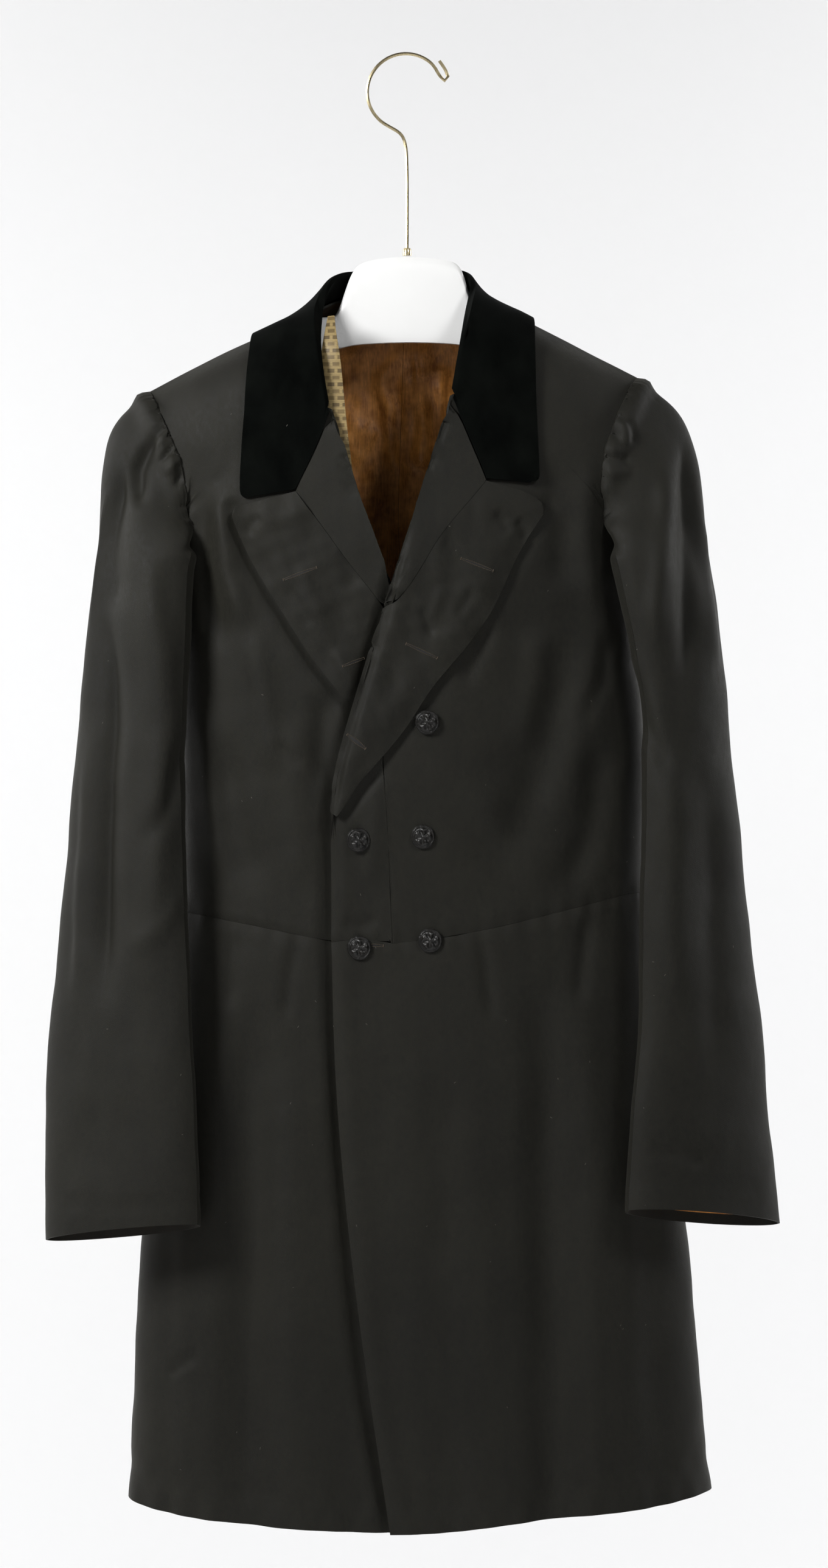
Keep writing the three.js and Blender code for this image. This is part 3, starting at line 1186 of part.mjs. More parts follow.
// Profile: radius and height as shares of the width. A rim, then two rings of relief and a boss.
const BUTTON_PROFILE = [
  [0, 0], [0.4, 0], [0.5, 0.1], [0.45, 0.19], [0.38, 0.16], [0.28, 0.205], [0.2, 0.18], [0, 0.24],
];
for (const button of BUTTONS) {
  const place = seenAt(button.x, button.z);
  const profile = BUTTON_PROFILE.map(([r, h]) => new THREE.Vector2(r * BUTTON_WIDTH, h * BUTTON_WIDTH));
  const mesh = piece(button.name, 'button', new THREE.LatheGeometry(profile, 14));
  const tilt = Math.sin(radians(Math.abs(button.tip))) * (BUTTON_WIDTH / 2);
  mesh.position.copy(onBody(place, overLift(place) + CLOTH + 2 * SEAM + tilt));
  const normal = outward(place.t, place.w);
  normal.applyAxisAngle(new THREE.Vector3(0, 0, 1), radians(button.tip));
  mesh.quaternion.setFromUnitVectors(new THREE.Vector3(0, 1, 0), normal);
}

export default coat;
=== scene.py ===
"""Double-breasted overcoat with a velvet collar on a moulded hanger: the looks.

Metres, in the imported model's frame: +Z up, the coat's front towards -Y, origin inside the top of
the hook's arc. Tables are in millimetres. "Left" and "right" are the sides of somebody who looks
at the front: left is -X.
"""

import json
import math

import bmesh
import bpy
import numpy as np
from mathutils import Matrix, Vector
from mathutils.bvhtree import BVHTree
from mathutils.kdtree import KDTree

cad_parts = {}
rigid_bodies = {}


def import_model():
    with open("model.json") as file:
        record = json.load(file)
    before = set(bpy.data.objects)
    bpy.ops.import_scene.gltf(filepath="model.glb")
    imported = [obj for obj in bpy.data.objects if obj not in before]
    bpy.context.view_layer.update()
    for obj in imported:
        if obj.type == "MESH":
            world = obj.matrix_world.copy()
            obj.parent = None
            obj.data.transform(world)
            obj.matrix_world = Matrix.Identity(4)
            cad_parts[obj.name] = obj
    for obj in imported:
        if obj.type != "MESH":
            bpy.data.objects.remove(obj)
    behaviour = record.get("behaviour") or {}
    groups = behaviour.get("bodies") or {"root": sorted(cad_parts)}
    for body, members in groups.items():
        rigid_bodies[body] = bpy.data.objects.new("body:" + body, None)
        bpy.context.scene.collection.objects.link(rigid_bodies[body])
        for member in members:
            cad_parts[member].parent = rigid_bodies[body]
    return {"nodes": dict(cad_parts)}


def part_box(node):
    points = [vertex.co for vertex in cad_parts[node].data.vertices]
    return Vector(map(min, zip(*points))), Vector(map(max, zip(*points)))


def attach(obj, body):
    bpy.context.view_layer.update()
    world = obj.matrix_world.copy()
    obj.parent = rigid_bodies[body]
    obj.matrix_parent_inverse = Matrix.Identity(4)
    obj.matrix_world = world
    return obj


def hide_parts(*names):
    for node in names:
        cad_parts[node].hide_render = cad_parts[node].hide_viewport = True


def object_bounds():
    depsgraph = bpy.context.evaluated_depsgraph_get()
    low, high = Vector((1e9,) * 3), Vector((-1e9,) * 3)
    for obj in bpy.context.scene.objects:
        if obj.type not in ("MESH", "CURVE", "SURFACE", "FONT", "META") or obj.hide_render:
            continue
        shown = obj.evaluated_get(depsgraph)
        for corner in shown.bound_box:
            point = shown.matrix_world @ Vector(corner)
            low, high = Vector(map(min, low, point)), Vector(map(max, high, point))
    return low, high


MM = 0.001
for start_object in list(bpy.data.objects):
    bpy.data.objects.remove(start_object)
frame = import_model()
cad_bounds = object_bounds()
nodes = frame["nodes"]

# ---------------------------------------------------------------- camera, floor and light
VIEW_CENTRE = Vector((6.25, -30, -603)) * MM
VIEW_HEIGHT = 1288 * MM
DISTANCE = 4.0


def aim(obj, target):
    obj.rotation_euler = (target - obj.location).to_track_quat("-Z", "Y").to_euler()


def add_camera():
    data = bpy.data.cameras.new("camera")
    data.sensor_fit = "VERTICAL"
    data.angle = 2 * math.atan(VIEW_HEIGHT / 2 / DISTANCE)
    camera = bpy.data.objects.new("camera", data)
    camera.location = VIEW_CENTRE + Vector((0, -DISTANCE, 0))
    camera.rotation_euler = (math.pi / 2, 0, 0)
    bpy.context.collection.objects.link(camera)
    bpy.context.scene.camera = camera


# name, place, size, watts
LIGHTS = [
    ("key", (-1.2, -1.1, 0.3), 0.6, 32),
    ("fill", (1.3, -1.8, 1.0), 0.7, 17),
    ("low", (-0.5, -2.2, -1.3), 0.8, 3),
]
WALL_LIGHTS = [("wall_left", (-2.3, 0.9, 0.3), 1.6, 41), ("wall_right", (2.5, 0.9, 0.2), 1.6, 47)]
# A narrow beam into the neck's opening, on the lining.
NECK_BEAM = {"place": (0.42, -1.15, -0.2), "aim": (-0.03, 0.05, -0.285), "watts": 19, "cone": 6.5,
             "blend": 0.7, "soft": 0.16}
WALL_AIM = -1.2
WORLD_STRENGTH = 0.08


def place_light(data, place, target):
    light = bpy.data.objects.new(data.name, data)
    light.location = place
    aim(light, target)
    bpy.context.collection.objects.link(light)


def add_lights():
    for name, place, size, watts in LIGHTS + WALL_LIGHTS:
        data = bpy.data.lights.new(name, "AREA")
        data.shape = "DISK"
        data.size = size
        data.energy = watts
        wall = Vector((0, WALL_PLACE, WALL_AIM))
        place_light(data, place, wall if name.startswith("wall") else VIEW_CENTRE)
    data = bpy.data.lights.new("neck_beam", "SPOT")
    data.energy = NECK_BEAM["watts"]
    data.spot_size = math.radians(NECK_BEAM["cone"])
    data.spot_blend = NECK_BEAM["blend"]
    data.shadow_soft_size = NECK_BEAM["soft"]
    place_light(data, NECK_BEAM["place"], Vector(NECK_BEAM["aim"]))
    world = bpy.data.worlds.new("studio")
    world.use_nodes = True
    world.node_tree.nodes["Background"].inputs["Color"].default_value = (0.98, 0.98, 1.0, 1)
    world.node_tree.nodes["Background"].inputs["Strength"].default_value = WORLD_STRENGTH
    bpy.context.scene.world = world
    bpy.context.scene.view_settings.view_transform = "Standard"


FLOOR_DROP = 0.42  # from the hem down to the floor
SWEEP_RADIUS = 1.1  # of the bend from the floor into the wall behind
SWEEP_STEPS = 16
WALL_PLACE = 2.4
WALL_HEIGHT = 7
FLOOR_FRONT = -9.0
FLOOR_SIDES = (-8, 8)


def add_floor():
    low = cad_bounds[0][2] - FLOOR_DROP
    profile = [(FLOOR_FRONT, low), (WALL_PLACE - SWEEP_RADIUS, low)]
    for k in range(1, SWEEP_STEPS + 1):
        turn = math.radians(90 * k / SWEEP_STEPS)
        depth = WALL_PLACE - SWEEP_RADIUS * (1 - math.sin(turn))
        profile.append((depth, low + SWEEP_RADIUS * (1 - math.cos(turn))))
    profile.append((WALL_PLACE, low + WALL_HEIGHT))
    verts = [(side, y, z) for side in FLOOR_SIDES for y, z in profile]
    n = len(profile)
    faces = [(i, i + 1, n + i + 1, n + i) for i in range(n - 1)]
    mesh = bpy.data.meshes.new("floor")
    mesh.from_pydata(verts, [], faces)
    mesh.shade_smooth()
    floor = bpy.data.objects.new("floor", mesh)
    bpy.context.collection.objects.link(floor)
    floor.data.materials.append(plain_paper())


# ---------------------------------------------------------------- materials
class Nodes:
    """A material's node tree, with short calls to add nodes and links."""

    def __init__(self, name):
        self.material = bpy.data.materials.new(name)
        self.material.use_nodes = True
        self.tree = self.material.node_tree
        self.shader = self.tree.nodes["Principled BSDF"]

    def add(self, kind, inputs=(), **settings):
        node = self.tree.nodes.new(kind)
        for key, value in settings.items():
            setattr(node, key, value)
        for key, value in dict(inputs).items():
            if isinstance(value, bpy.types.NodeSocket):
                self.tree.links.new(value, node.inputs[key])
            else:
                node.inputs[key].default_value = value
        return node

    def surface(self, **values):
        for key, value in values.items():
            socket = self.shader.inputs[key.replace("_", " ")]
            if isinstance(value, bpy.types.NodeSocket):
                self.tree.links.new(value, socket)
            else:
                socket.default_value = value

    def place(self, scale=(1, 1, 1), turn=(0, 0, 0)):
        """The surface's own coordinates, scaled and turned by degrees."""
        coordinates = self.add("ShaderNodeTexCoord").outputs["Object"]
        angles = tuple(math.radians(a) for a in turn)
        inputs = {"Vector": coordinates, "Scale": scale, "Rotation": angles}
        return self.add("ShaderNodeMapping", inputs).outputs["Vector"]

    def noise(self, scale, detail=3, vector=None):
        inputs = {"Scale": scale, "Detail": detail, "Roughness": 0.5, "Vector": vector or self.place()}
        return self.add("ShaderNodeTexNoise", inputs).outputs["Fac"]

    def math(self, operation, a, b):
        return self.add("ShaderNodeMath", {0: a, 1: b}, operation=operation).outputs[0]

    def total(self, *terms):
        """The sum of the terms, each a value and its weight."""
        weighted = [self.math("MULTIPLY", *term) for term in terms]
        out = weighted[0]
        for part in weighted[1:]:
            out = self.math("ADD", out, part)
        return out

    def ramp(self, factor, stops):
        node = self.add("ShaderNodeValToRGB", {"Fac": factor})
        elements = node.color_ramp.elements
        while len(elements) < len(stops):
            elements.new(0.5)
        for element, (position, colour) in zip(elements, stops):
            element.position = position
            element.color = (*colour, 1)
        return node.outputs["Color"]

    def bump(self, height, strength, distance, normal=None):
        inputs = {"Height": height, "Strength": strength, "Distance": distance}
        if normal:
            inputs["Normal"] = normal
        return self.add("ShaderNodeBump", inputs).outputs["Normal"]


def plain_paper():
    m = Nodes("paper")
    colour = m.ramp(m.noise(0.8), [(0.3, (0.86, 0.86, 0.865)), (0.7, (0.88, 0.88, 0.88))])
    m.surface(Base_Color=colour, Roughness=0.9)
    return m.material


WAVE_PERIOD = 2 * math.pi / 20  # of Blender's wave texture at scale 1, in metres
TWILL_PITCH = 0.95 * MM


def wool():
    """Fine twill: diagonal ribs crossed by a thread grain, a short nap and a soft sheen."""
    m = Nodes("wool")
    ribs = m.add("ShaderNodeTexWave", {
        "Vector": m.place(turn=(0, 35, 0)), "Scale": WAVE_PERIOD / TWILL_PITCH,
        "Distortion": 0.6, "Detail": 1.0, "Detail Scale": 1.5,
    }, bands_direction="X").outputs["Fac"]
    thread = m.noise(1500, 2)
    nap = m.noise(420, 4, m.place((1, 1, 0.45)))
    cloud = m.noise(9, 3)
    streak = m.noise(70, 3, m.place((1, 1, 0.12)))
    mixed = m.total((thread, 0.35), (nap, 0.3), (cloud, 0.22), (streak, 0.13))
    colour = m.ramp(mixed, [(0.34, (0.0038, 0.0036, 0.0024)), (0.68, (0.0158, 0.0149, 0.01))])
    height = m.total((ribs, 0.32), (thread, 1.0))
    normal = m.bump(height, 0.4, 0.4 * MM)
    soft = m.bump(m.noise(38, 3, m.place((1, 1, 0.6))), 0.3, 2.5 * MM, normal)
    worn = m.math("ADD", m.math("MULTIPLY", nap, 0.3), 0.52)
    m.surface(Base_Color=colour, Roughness=worn, Normal=soft, Sheen_Weight=0.05, Sheen_Roughness=0.5,
              Sheen_Tint=(0.8, 0.78, 0.68, 1), Specular_IOR_Level=0.24)
    return m.material


def velvet():
    """Short dense pile: nearly black face on, a faint light at grazing angles, crushed patches."""
    m = Nodes("velvet")
    crushed = m.noise(46, 4, m.place((1, 1, 0.6)))
    pile = m.noise(2200, 2)
    mixed = m.total((crushed, 0.75), (pile, 0.25))
    colour = m.ramp(mixed, [(0.35, (0.0006, 0.0009, 0.0007)), (0.75, (0.0034, 0.0042, 0.0034))])
    normal = m.bump(pile, 0.5, 0.4 * MM)
    m.surface(Base_Color=colour, Roughness=0.95, Normal=normal, Sheen_Weight=0.03, Sheen_Roughness=0.3,
              Sheen_Tint=(0.6, 0.66, 0.62, 1), Specular_IOR_Level=0.05)
    return m.material


def lining():
    """Brown satin with loose vertical wrinkles and a fine warp. The wrinkles' noise also sets the colour:
    painted shade in their folds and painted light on their ridges.
    """
    m = Nodes("lining")
    warp = m.noise(900, 2, m.place((1, 1, 0.05)))
    wrinkles_and_painted_shade = m.noise(60, 4, m.place((1, 1, 0.35)))
    mottle = m.noise(140, 4)
    # The wrinkle noise weighs 0.4 in the colour. That part is painted shade in the folds and painted light
    # on the ridges; the warp and mottle are the satin's own tone.
    mixed = m.total((warp, 0.3), (wrinkles_and_painted_shade, 0.4), (mottle, 0.3))
    colour = m.ramp(mixed, [(0.38, (0.3, 0.1, 0.013)), (0.64, (0.86, 0.37, 0.082))])
    normal = m.bump(wrinkles_and_painted_shade, 0.5, 3 * MM, m.bump(warp, 0.2, 0.2 * MM))
    m.surface(Base_Color=colour, Roughness=0.5, Normal=normal, Sheen_Weight=0.1, Specular_IOR_Level=0.4)
    return m.material


def patterned():
    """Gold silk with a small common repeat of woven dashes in staggered rows."""
    m = Nodes("patterned_silk")
    place = m.place(turn=(90, 0, 0))
    dashes = m.add("ShaderNodeTexBrick", {
        "Vector": place, "Scale": 1.0, "Brick Width": 8.2 * MM, "Row Height": 5.6 * MM,
        "Mortar Size": 1.5 * MM, "Mortar Smooth": 0.35, "Color1": (0.1, 0.068, 0.026, 1),
        "Color2": (0.17, 0.118, 0.046, 1), "Mortar": (0.3, 0.222, 0.096, 1),
    }, offset=0.5)
    lines = m.add("ShaderNodeTexWave", {"Vector": m.place(), "Scale": WAVE_PERIOD / (1.3 * MM)},
                  bands_direction="Z").outputs["Fac"]
    thread = m.noise(1400, 2)
    shade = m.ramp(m.total((lines, 0.5), (thread, 0.5)),
                   [(0.2, (0.72, 0.7, 0.66)), (0.8, (1.2, 1.18, 1.12))])
    colour = m.add("ShaderNodeMix", {"Factor": 1.0, 6: dashes.outputs["Color"], 7: shade},
                   data_type="RGBA", blend_type="MULTIPLY").outputs[2]
    normal = m.bump(lines, 0.3, 0.2 * MM)
    m.surface(Base_Color=colour, Roughness=0.48, Normal=normal, Sheen_Weight=0.1)
    return m.material


def button_cloth():
    m = Nodes("button_cloth")
    weave = m.noise(1800, 2)
    worn = m.noise(240, 3)
    mixed = m.total((weave, 0.4), (worn, 0.6))
    colour = m.ramp(mixed, [(0.35, (0.004, 0.004, 0.0036)), (0.8, (0.0145, 0.0125, 0.0096))])
    normal = m.bump(m.noise(330, 2), 0.7, 1.2 * MM, m.bump(weave, 0.25, 0.2 * MM))
    m.surface(Base_Color=colour, Roughness=0.36, Normal=normal, Specular_IOR_Level=0.36)
    return m.material


def moulded():
    """White polystyrene with a faint moulding texture and scuffs in the gloss."""
    m = Nodes("moulded_plastic")
    colour = m.ramp(m.noise(14), [(0.3, (0.88, 0.88, 0.87)), (0.7, (0.92, 0.92, 0.91))])
    rough = m.math("ADD", m.math("MULTIPLY", m.noise(90, 4), 0.2), 0.28)
    m.surface(Base_Color=colour, Roughness=rough, Normal=m.bump(m.noise(1100, 2), 0.08, 0.1 * MM), IOR=1.55)
    return m.material


def plated_wire():
    m = Nodes("plated_wire")
    drawn = m.noise(1600, 3, m.place((1, 1, 0.08)))
    colour = m.ramp(drawn, [(0.3, (0.5, 0.41, 0.24)), (0.7, (0.78, 0.67, 0.42))])
    rough = m.math("ADD", m.math("MULTIPLY", m.noise(200, 3), 0.18), 0.2)
    m.surface(Base_Color=colour, Metallic=1.0, Roughness=rough, Normal=m.bump(drawn, 0.12, 0.1 * MM))
    return m.material


def thread(name, colour):
    m = Nodes(name)
    twist = m.noise(2500, 2)
    tone = m.ramp(twist, [(0.3, tuple(c * 0.6 for c in colour)), (0.7, colour)])
    m.surface(Base_Color=tone, Roughness=0.8, Normal=m.bump(twist, 0.4, 0.1 * MM), Sheen_Weight=0.1)
    return m.material


# ---------------------------------------------------------------- small maths
def smooth(low, high, x):
    f = np.clip((x - low) / (high - low), 0, 1)
    return f * f * (3 - 2 * f)


def along(points, x, z):
    """For each x, z: the distance to the line through points and the share of it gone along."""
    points = np.array(points, float)
    steps = np.hypot(*np.diff(points, axis=0).T)
    total = steps.sum()
    best = np.full(x.shape, 1e9)
    share = np.zeros(x.shape)
    done = 0.0
    for (ax, az), (bx, bz), step in zip(points[:-1], points[1:], steps):
        f = ((x - ax) * (bx - ax) + (z - az) * (bz - az)) / step**2
        f = np.clip(f, 0, 1)
        distance = np.hypot(x - ax - f * (bx - ax), z - az - f * (bz - az))
        nearer = distance < best
        best = np.where(nearer, distance, best)
        share = np.where(nearer, (done + f * step) / total, share)
        done += step
    return best, share


# A crease is a row of its line, its width, its depth (out is positive) and, if it has one, the
# share of its length over which it fades at each end. An open one doesn't fade at its far end.
FADE = 0.25
OPEN = "open"


def creased(table, x, z):
    """How far out the creases of a table move the cloth at x and z, all in millimetres."""
    out = np.zeros(x.shape)
    for line, width, depth, *extra in table:
        distance, share = along(line, x, z)
        fade = extra[0] if extra and extra[0] != OPEN else FADE
        ends = smooth(0, fade, share)
        if OPEN not in extra:
            ends *= 1 - smooth(1 - fade, 1, share)
        out += depth * np.exp(-((distance / width) ** 2)) * ends
    return out


RIPPLE_WAVES = 9


def ripples(x, y, z, length, seed):
    """Smooth undulation from -1 to 1, about length long."""
    random = np.random.default_rng(seed)
    total = np.zeros(x.shape)
    for _ in range(RIPPLE_WAVES):
        direction = random.normal(size=3)
        direction /= np.linalg.norm(direction)
        pitch = length * random.uniform(0.6, 1.7)
        total += np.sin((x * direction[0] + y * direction[1] + z * direction[2]) * 2 * math.pi / pitch
                        + random.uniform(0, 2 * math.pi))
    return total / math.sqrt(RIPPLE_WAVES)


# ---------------------------------------------------------------- cloth shells
SHARP = math.radians(48)


def welded(name):
    """A bmesh of a CAD node's solid, with its points joined and its triangles paired."""
    data = nodes[name].data
    points = np.empty(len(data.vertices) * 3)
    data.vertices.foreach_get("co", points)
    keys = {}
    order = []
    places = []
    for p in points.reshape(-1, 3):
        key = tuple(np.round(p, 5))
        if key not in keys:
            keys[key] = len(places)
            places.append(p)
        order.append(keys[key])
    bm = bmesh.new()
    verts = [bm.verts.new(p) for p in places]
    for polygon in data.polygons:
        corners = [order[i] for i in polygon.vertices]
        if len(set(corners)) == 3:
            try:
                bm.faces.new([verts[i] for i in corners])
            except ValueError:
                pass
    bmesh.ops.recalc_face_normals(bm, faces=bm.faces)
    bmesh.ops.join_triangles(bm, faces=bm.faces, angle_face_threshold=math.radians(38),
                             angle_shape_threshold=math.radians(75))
    return bm


# Corners that are turned round: the corner, a point on each of its edges (x, z), the radius.
CORNERS = {
    "lapel_left": [((-143.8, -378.2), (-90, -364.9), (-136.7, -399.7), 9)],
    "lapel_right": [((117.6, -375), (65, -356.3), (106, -391.5), 9)],
    "collar": [((-135.6, -370.6), (-101.7, -365), (-135.4, -338), 5),
               ((108, -358.5), (84, -349), (111, -330), 5)],
}
CORNERS_BEFORE = -0.03  # metres: only the front's own cloth has corners to turn


def unit(vector):
    return vector / np.linalg.norm(vector)


def round_corners(obj, name):
    points = points_of(obj)
    for corner, first, second, radius in CORNERS.get(name, []):
        corner = np.array(corner, float)
        one, other = unit(np.array(first) - corner), unit(np.array(second) - corner)
        half = math.acos(one @ other) / 2
        middle = corner + unit(one + other) * radius / math.sin(half)
        reach = radius / math.tan(half)
        flat = points[:, [0, 2]] / MM
        away = flat - corner
        inside = (away @ one < reach) & (away @ other < reach) & (points[:, 1] < CORNERS_BEFORE)
        inside &= np.linalg.norm(away, axis=1) < 3 * radius
        offset = flat - middle
        distance = np.linalg.norm(offset, axis=1)
        share = np.where(inside & (distance > radius), radius / np.maximum(distance, 1e-6) - 1, 0)
        points[:, [0, 2]] += offset * share[:, None] * MM
    set_points(obj, points)


def subdivided(bm, name, levels):
    """An object with the mesh subdivided, and its outline's edges kept."""
    crease = bm.edges.layers.float.new("crease_edge")
    for e in bm.edges:
        if len(e.link_faces) == 2 and e.calc_face_angle(0) > SHARP:
            e[crease] = 1.0
    mesh = bpy.data.meshes.new(name)
    bm.to_mesh(mesh)
    bm.free()
    obj = bpy.data.objects.new(name, mesh)
    bpy.context.collection.objects.link(obj)
    modifier = obj.modifiers.new("subdivide", "SUBSURF")
    modifier.levels = levels
    modifier.render_levels = levels
    graph = bpy.context.evaluated_depsgraph_get()
    fine = bpy.data.meshes.new_from_object(obj.evaluated_get(graph))
    obj.modifiers.clear()
    obj.data = fine
    fine.name = name
    fine.shade_smooth()
    fine.set_sharp_from_angle(angle=math.radians(55))
    return obj


def points_of(obj):
    points = np.empty(len(obj.data.vertices) * 3)
    obj.data.vertices.foreach_get("co", points)
    return points.reshape(-1, 3)


def set_points(obj, points):
    obj.data.vertices.foreach_set("co", points.astype(np.float32).ravel())
    obj.data.update()


# Creases of the fronts, the lapels on them and the skirts, as seen from the front.
FRONT_CREASES = [
    # right chest: the long curved trough and its soft banks
    ([(129, -473), (131, -503), (116, -559), (96, -624), (56, -682)], 17, -1.7),
    ([(146, -470), (149, -520), (136, -580), (112, -650)], 14, 1.5),
    ([(108, -470), (106, -520), (90, -580)], 12, 1.8),
    ([(71, -467), (44, -526)], 7, -1.8),
    ([(118, -330), (126, -390), (128, -450)], 12, -1.6),
    ([(150, -330), (147, -400), (154, -470)], 10, 1.7),
    ([(160, -560), (152, -640), (128, -700)], 12, -2.0),
    ([(60, -600), (80, -650), (120, -690)], 14, 1.4),
    ([(168, -470), (160, -520), (140, -560)], 7, -1.4),
    # left chest: diagonal ridge, trough under the lapel's edge, vertical trough to the waist
    ([(-151, -352), (-146, -432), (-127, -482)], 10, 2.6),
    ([(-168, -360), (-166, -430), (-150, -500)], 10, -2.4),
    ([(-108, -568), (-96, -578), (-84, -590)], 4, -0.9),
    ([(-128, -470), (-116, -530), (-108, -600)], 11, 1.7),
    ([(-66, -522), (-68, -570), (-66, -610)], 10, -2.4),
    ([(-92, -540), (-90, -620), (-86, -700)], 12, 1.5),
    ([(-150, -560), (-140, -640), (-120, -700)], 13, -1.5),
    ([(-170, -520), (-160, -600), (-152, -690)], 9, 1.5),
    # the lower end of the right lapel, and the cloth drawn by the left buttons
    ([(-16, -586), (-38, -612), (-55, -636)], 5, -1.3),
    ([(-22, -606), (-26, -640), (-30, -690)], 9, 0.9),
    ([(-54, -714), (-38, -718), (-20, -712)], 6, -0.9),
    # skirts: long vertical folds that open towards the hem, and short ones under the waist seam
    ([(-126, -745), (-127, -900), (-128, -1230)], 13, -1.2, OPEN),
    ([(-100, -760), (-98, -950), (-96, -1230)], 15, 0.8, OPEN),
    ([(-152, -740), (-156, -900), (-160, -1230)], 12, 0.8, OPEN),
    ([(-60, -780), (-52, -980), (-44, -1230)], 16, -0.8, OPEN),
    ([(-197, -1086), (-169, -1066)], 4, -1.3),
    ([(112, -735), (115, -900), (118, -1230)], 13, -1.2, OPEN),
    ([(88, -740), (92, -950), (94, -1230)], 14, 0.8, OPEN),
    ([(142, -720), (150, -900), (156, -1230)], 13, 0.8, OPEN),
    ([(30, -790), (34, -1000), (38, -1230)], 18, -0.7, OPEN),
    ([(0, -760), (8, -960), (14, -1230)], 16, 0.5, OPEN),
    ([(184, -720), (196, -900), (206, -1230)], 12, -0.8, OPEN),
    ([(-188, -760), (-192, -900), (-196, -1230)], 10, -0.8, OPEN),
    # small ones at the waist seam
    ([(60, -724), (66, -760), (70, -800)], 6, -1.1),
    ([(150, -702), (146, -740), (140, -790)], 7, -1.2),
    ([(-90, -727), (-96, -765), (-100, -800)], 6, -1.1),
    ([(-140, -716), (-144, -750), (-146, -790)], 7, -1.1),
]
BACK_CREASES = [
    ([(-132, -380), (-112, -480), (-92, -600)], 12, -2.6),
    ([(118, -380), (104, -480), (88, -600)], 12, -2.6),
    ([(-40, -420), (-36, -560), (-30, -700)], 16, 1.5),
    ([(44, -400), (40, -560), (34, -700)], 16, 1.5),
    ([(-96, -790), (-100, -950), (-106, -1230)], 14, -3.0, OPEN),
    ([(98, -780), (104, -950), (112, -1230)], 14, -3.0, OPEN),
    ([(-50, -820), (-50, -1000), (-50, -1230)], 16, 2.0, OPEN),
    ([(52, -820), (54, -1000), (56, -1230)], 16, 2.0, OPEN),
]
WAIST_SEAM = [(-210, -706), (-109, -722), (-61, -732.5), (-18, -734), (60, -723), (116, -710), (215, -690)]
HEM_LINE = [(-232, -1190), (-163, -1203.5), (-103, -1208.5), (-13, -1213), (28, -1212),
            (106, -1202.5), (256, -1184)]
PUCKER = {"reach": 11, "depth": 0.5, "pitch": 17}
HEM_BULGE = {"up": 26, "width": 9, "depth": 0.7, "pucker": 0.55, "pitch": 23}


FRONT_FADE = (-30, -45)  # depths y over which what is seen from the front sets in

# Free edges that lie on other cloth, from the top down.
FRONT_EDGE = [(37.5, -295), (10, -372), (-9, -431), (-14, -456), (-18.5, -471), (-24, -491), (-30.5, -511),
              (-43, -553), (-49.6, -575), (-55, -597), (-59, -622), (-61, -680), (-61, -733), (-58.5, -800),
              (-53, -900), (-44.5, -1000), (-33, -1100), (-14, -1195), (-10, -1230)]
LAPEL_EDGES = {
    "left": [(-142, -379), (-137, -400), (-127, -420), (-105.4, -456), (-95, -473), (-73, -506),
             (-61.8, -520), (-35.5, -550), (-20, -566)],
    "right": [(116, -376), (106, -391.5), (86, -427), (77.8, -445.7), (57.9, -480), (45.6, -496),
              (31.8, -511.5), (4, -552.7), (-13.3, -574.4), (-33, -596), (-53, -619.6)],
}
LAPEL_TOPS = {"left": [(-143, -378), (-90, -365)], "right": [(117, -375), (65, -356)]}
LAPEL_CREASES = [
    ([(90, -386), (96, -396), (99, -406)], 4, -1.3),
    ([(72, -380), (79, -390), (84, -401)], 4, -1.1),
    ([(34, -384), (28, -400), (24, -416)], 5, 1.0),
    ([(12, -458), (17, -472), (22, -486)], 4, -1.4),
    ([(56, -442), (48, -456), (40, -470)], 5, -1.1),
    ([(30, -440), (26, -456), (18, -470)], 5, 0.8),
    ([(-118, -384), (-126, -392), (-130, -402)], 5, -1.0),
    ([(-86, -422), (-78, -448), (-64, -472)], 8, 1.5),
    ([(-54, -410), (-47, -428), (-42, -446)], 6, -1.2),
    ([(-98, -440), (-90, -452), (-76, -478)], 5, -0.9),
    ([(-60, -490), (-50, -510), (-36, -530)], 6, 1.0),
]
# The lapels' turns, from the neck down, and how far each is drawn over the edge under it.
TURNS = {
    "left": {"line": [(-53.5, -313), (-46.5, -342), (-18.5, -439), (5, -510)], "over": (2.6, 0.8),
             "from": -314, "to": -438},
    "right": {"line": [(37.5, -295), (10, -372), (-9, -431), (-14, -456), (-18.5, -471), (-24, -491),
                       (-30.5, -511), (-43, -553), (-49.6, -575), (-55, -597), (-59, -622)],
              "over": (-3.0, 1.0), "from": -297, "to": -680},
}
LAPEL_END = {"at": (-54, -619), "reach": 24, "move": (-3, -10)}


def turn_over(obj, name):
    """Draws a lapel and its facing over the turned edge of the front, and the front back from it."""
    points = points_of(obj)
    x, y, z = (points / MM).T
    turn = TURNS[name.split("_")[-1]]
    distance, _ = along(turn["line"], x, z)
    share = smooth(14, 1, distance) * smooth(*FRONT_FADE, y)
    share *= smooth(turn["from"], turn["from"] - 16, z) * smooth(turn["to"], turn["to"] + 16, z)
    if name.startswith("forepart"):
        share *= -1.1 * smooth(-622, -600, z)
        points[:, 1] += 3 * smooth(12, 2, distance) * smooth(-640, -600, z) * smooth(-300, -316, z) * MM
    if name == "facing_right":
        points[:, 1] += 3 * smooth(-445, -452, z) * MM
    if name == "lapel_right":
        end = np.hypot(x - LAPEL_END["at"][0], z - LAPEL_END["at"][1])
        pull = smooth(LAPEL_END["reach"], 0, end)
        share *= 1 - pull
        points[:, 0] += LAPEL_END["move"][0] * pull * MM
        points[:, 2] += LAPEL_END["move"][1] * pull * MM
    points[:, 0] += turn["over"][0] * share * MM
    points[:, 2] += turn["over"][1] * share * MM
    set_points(obj, points)


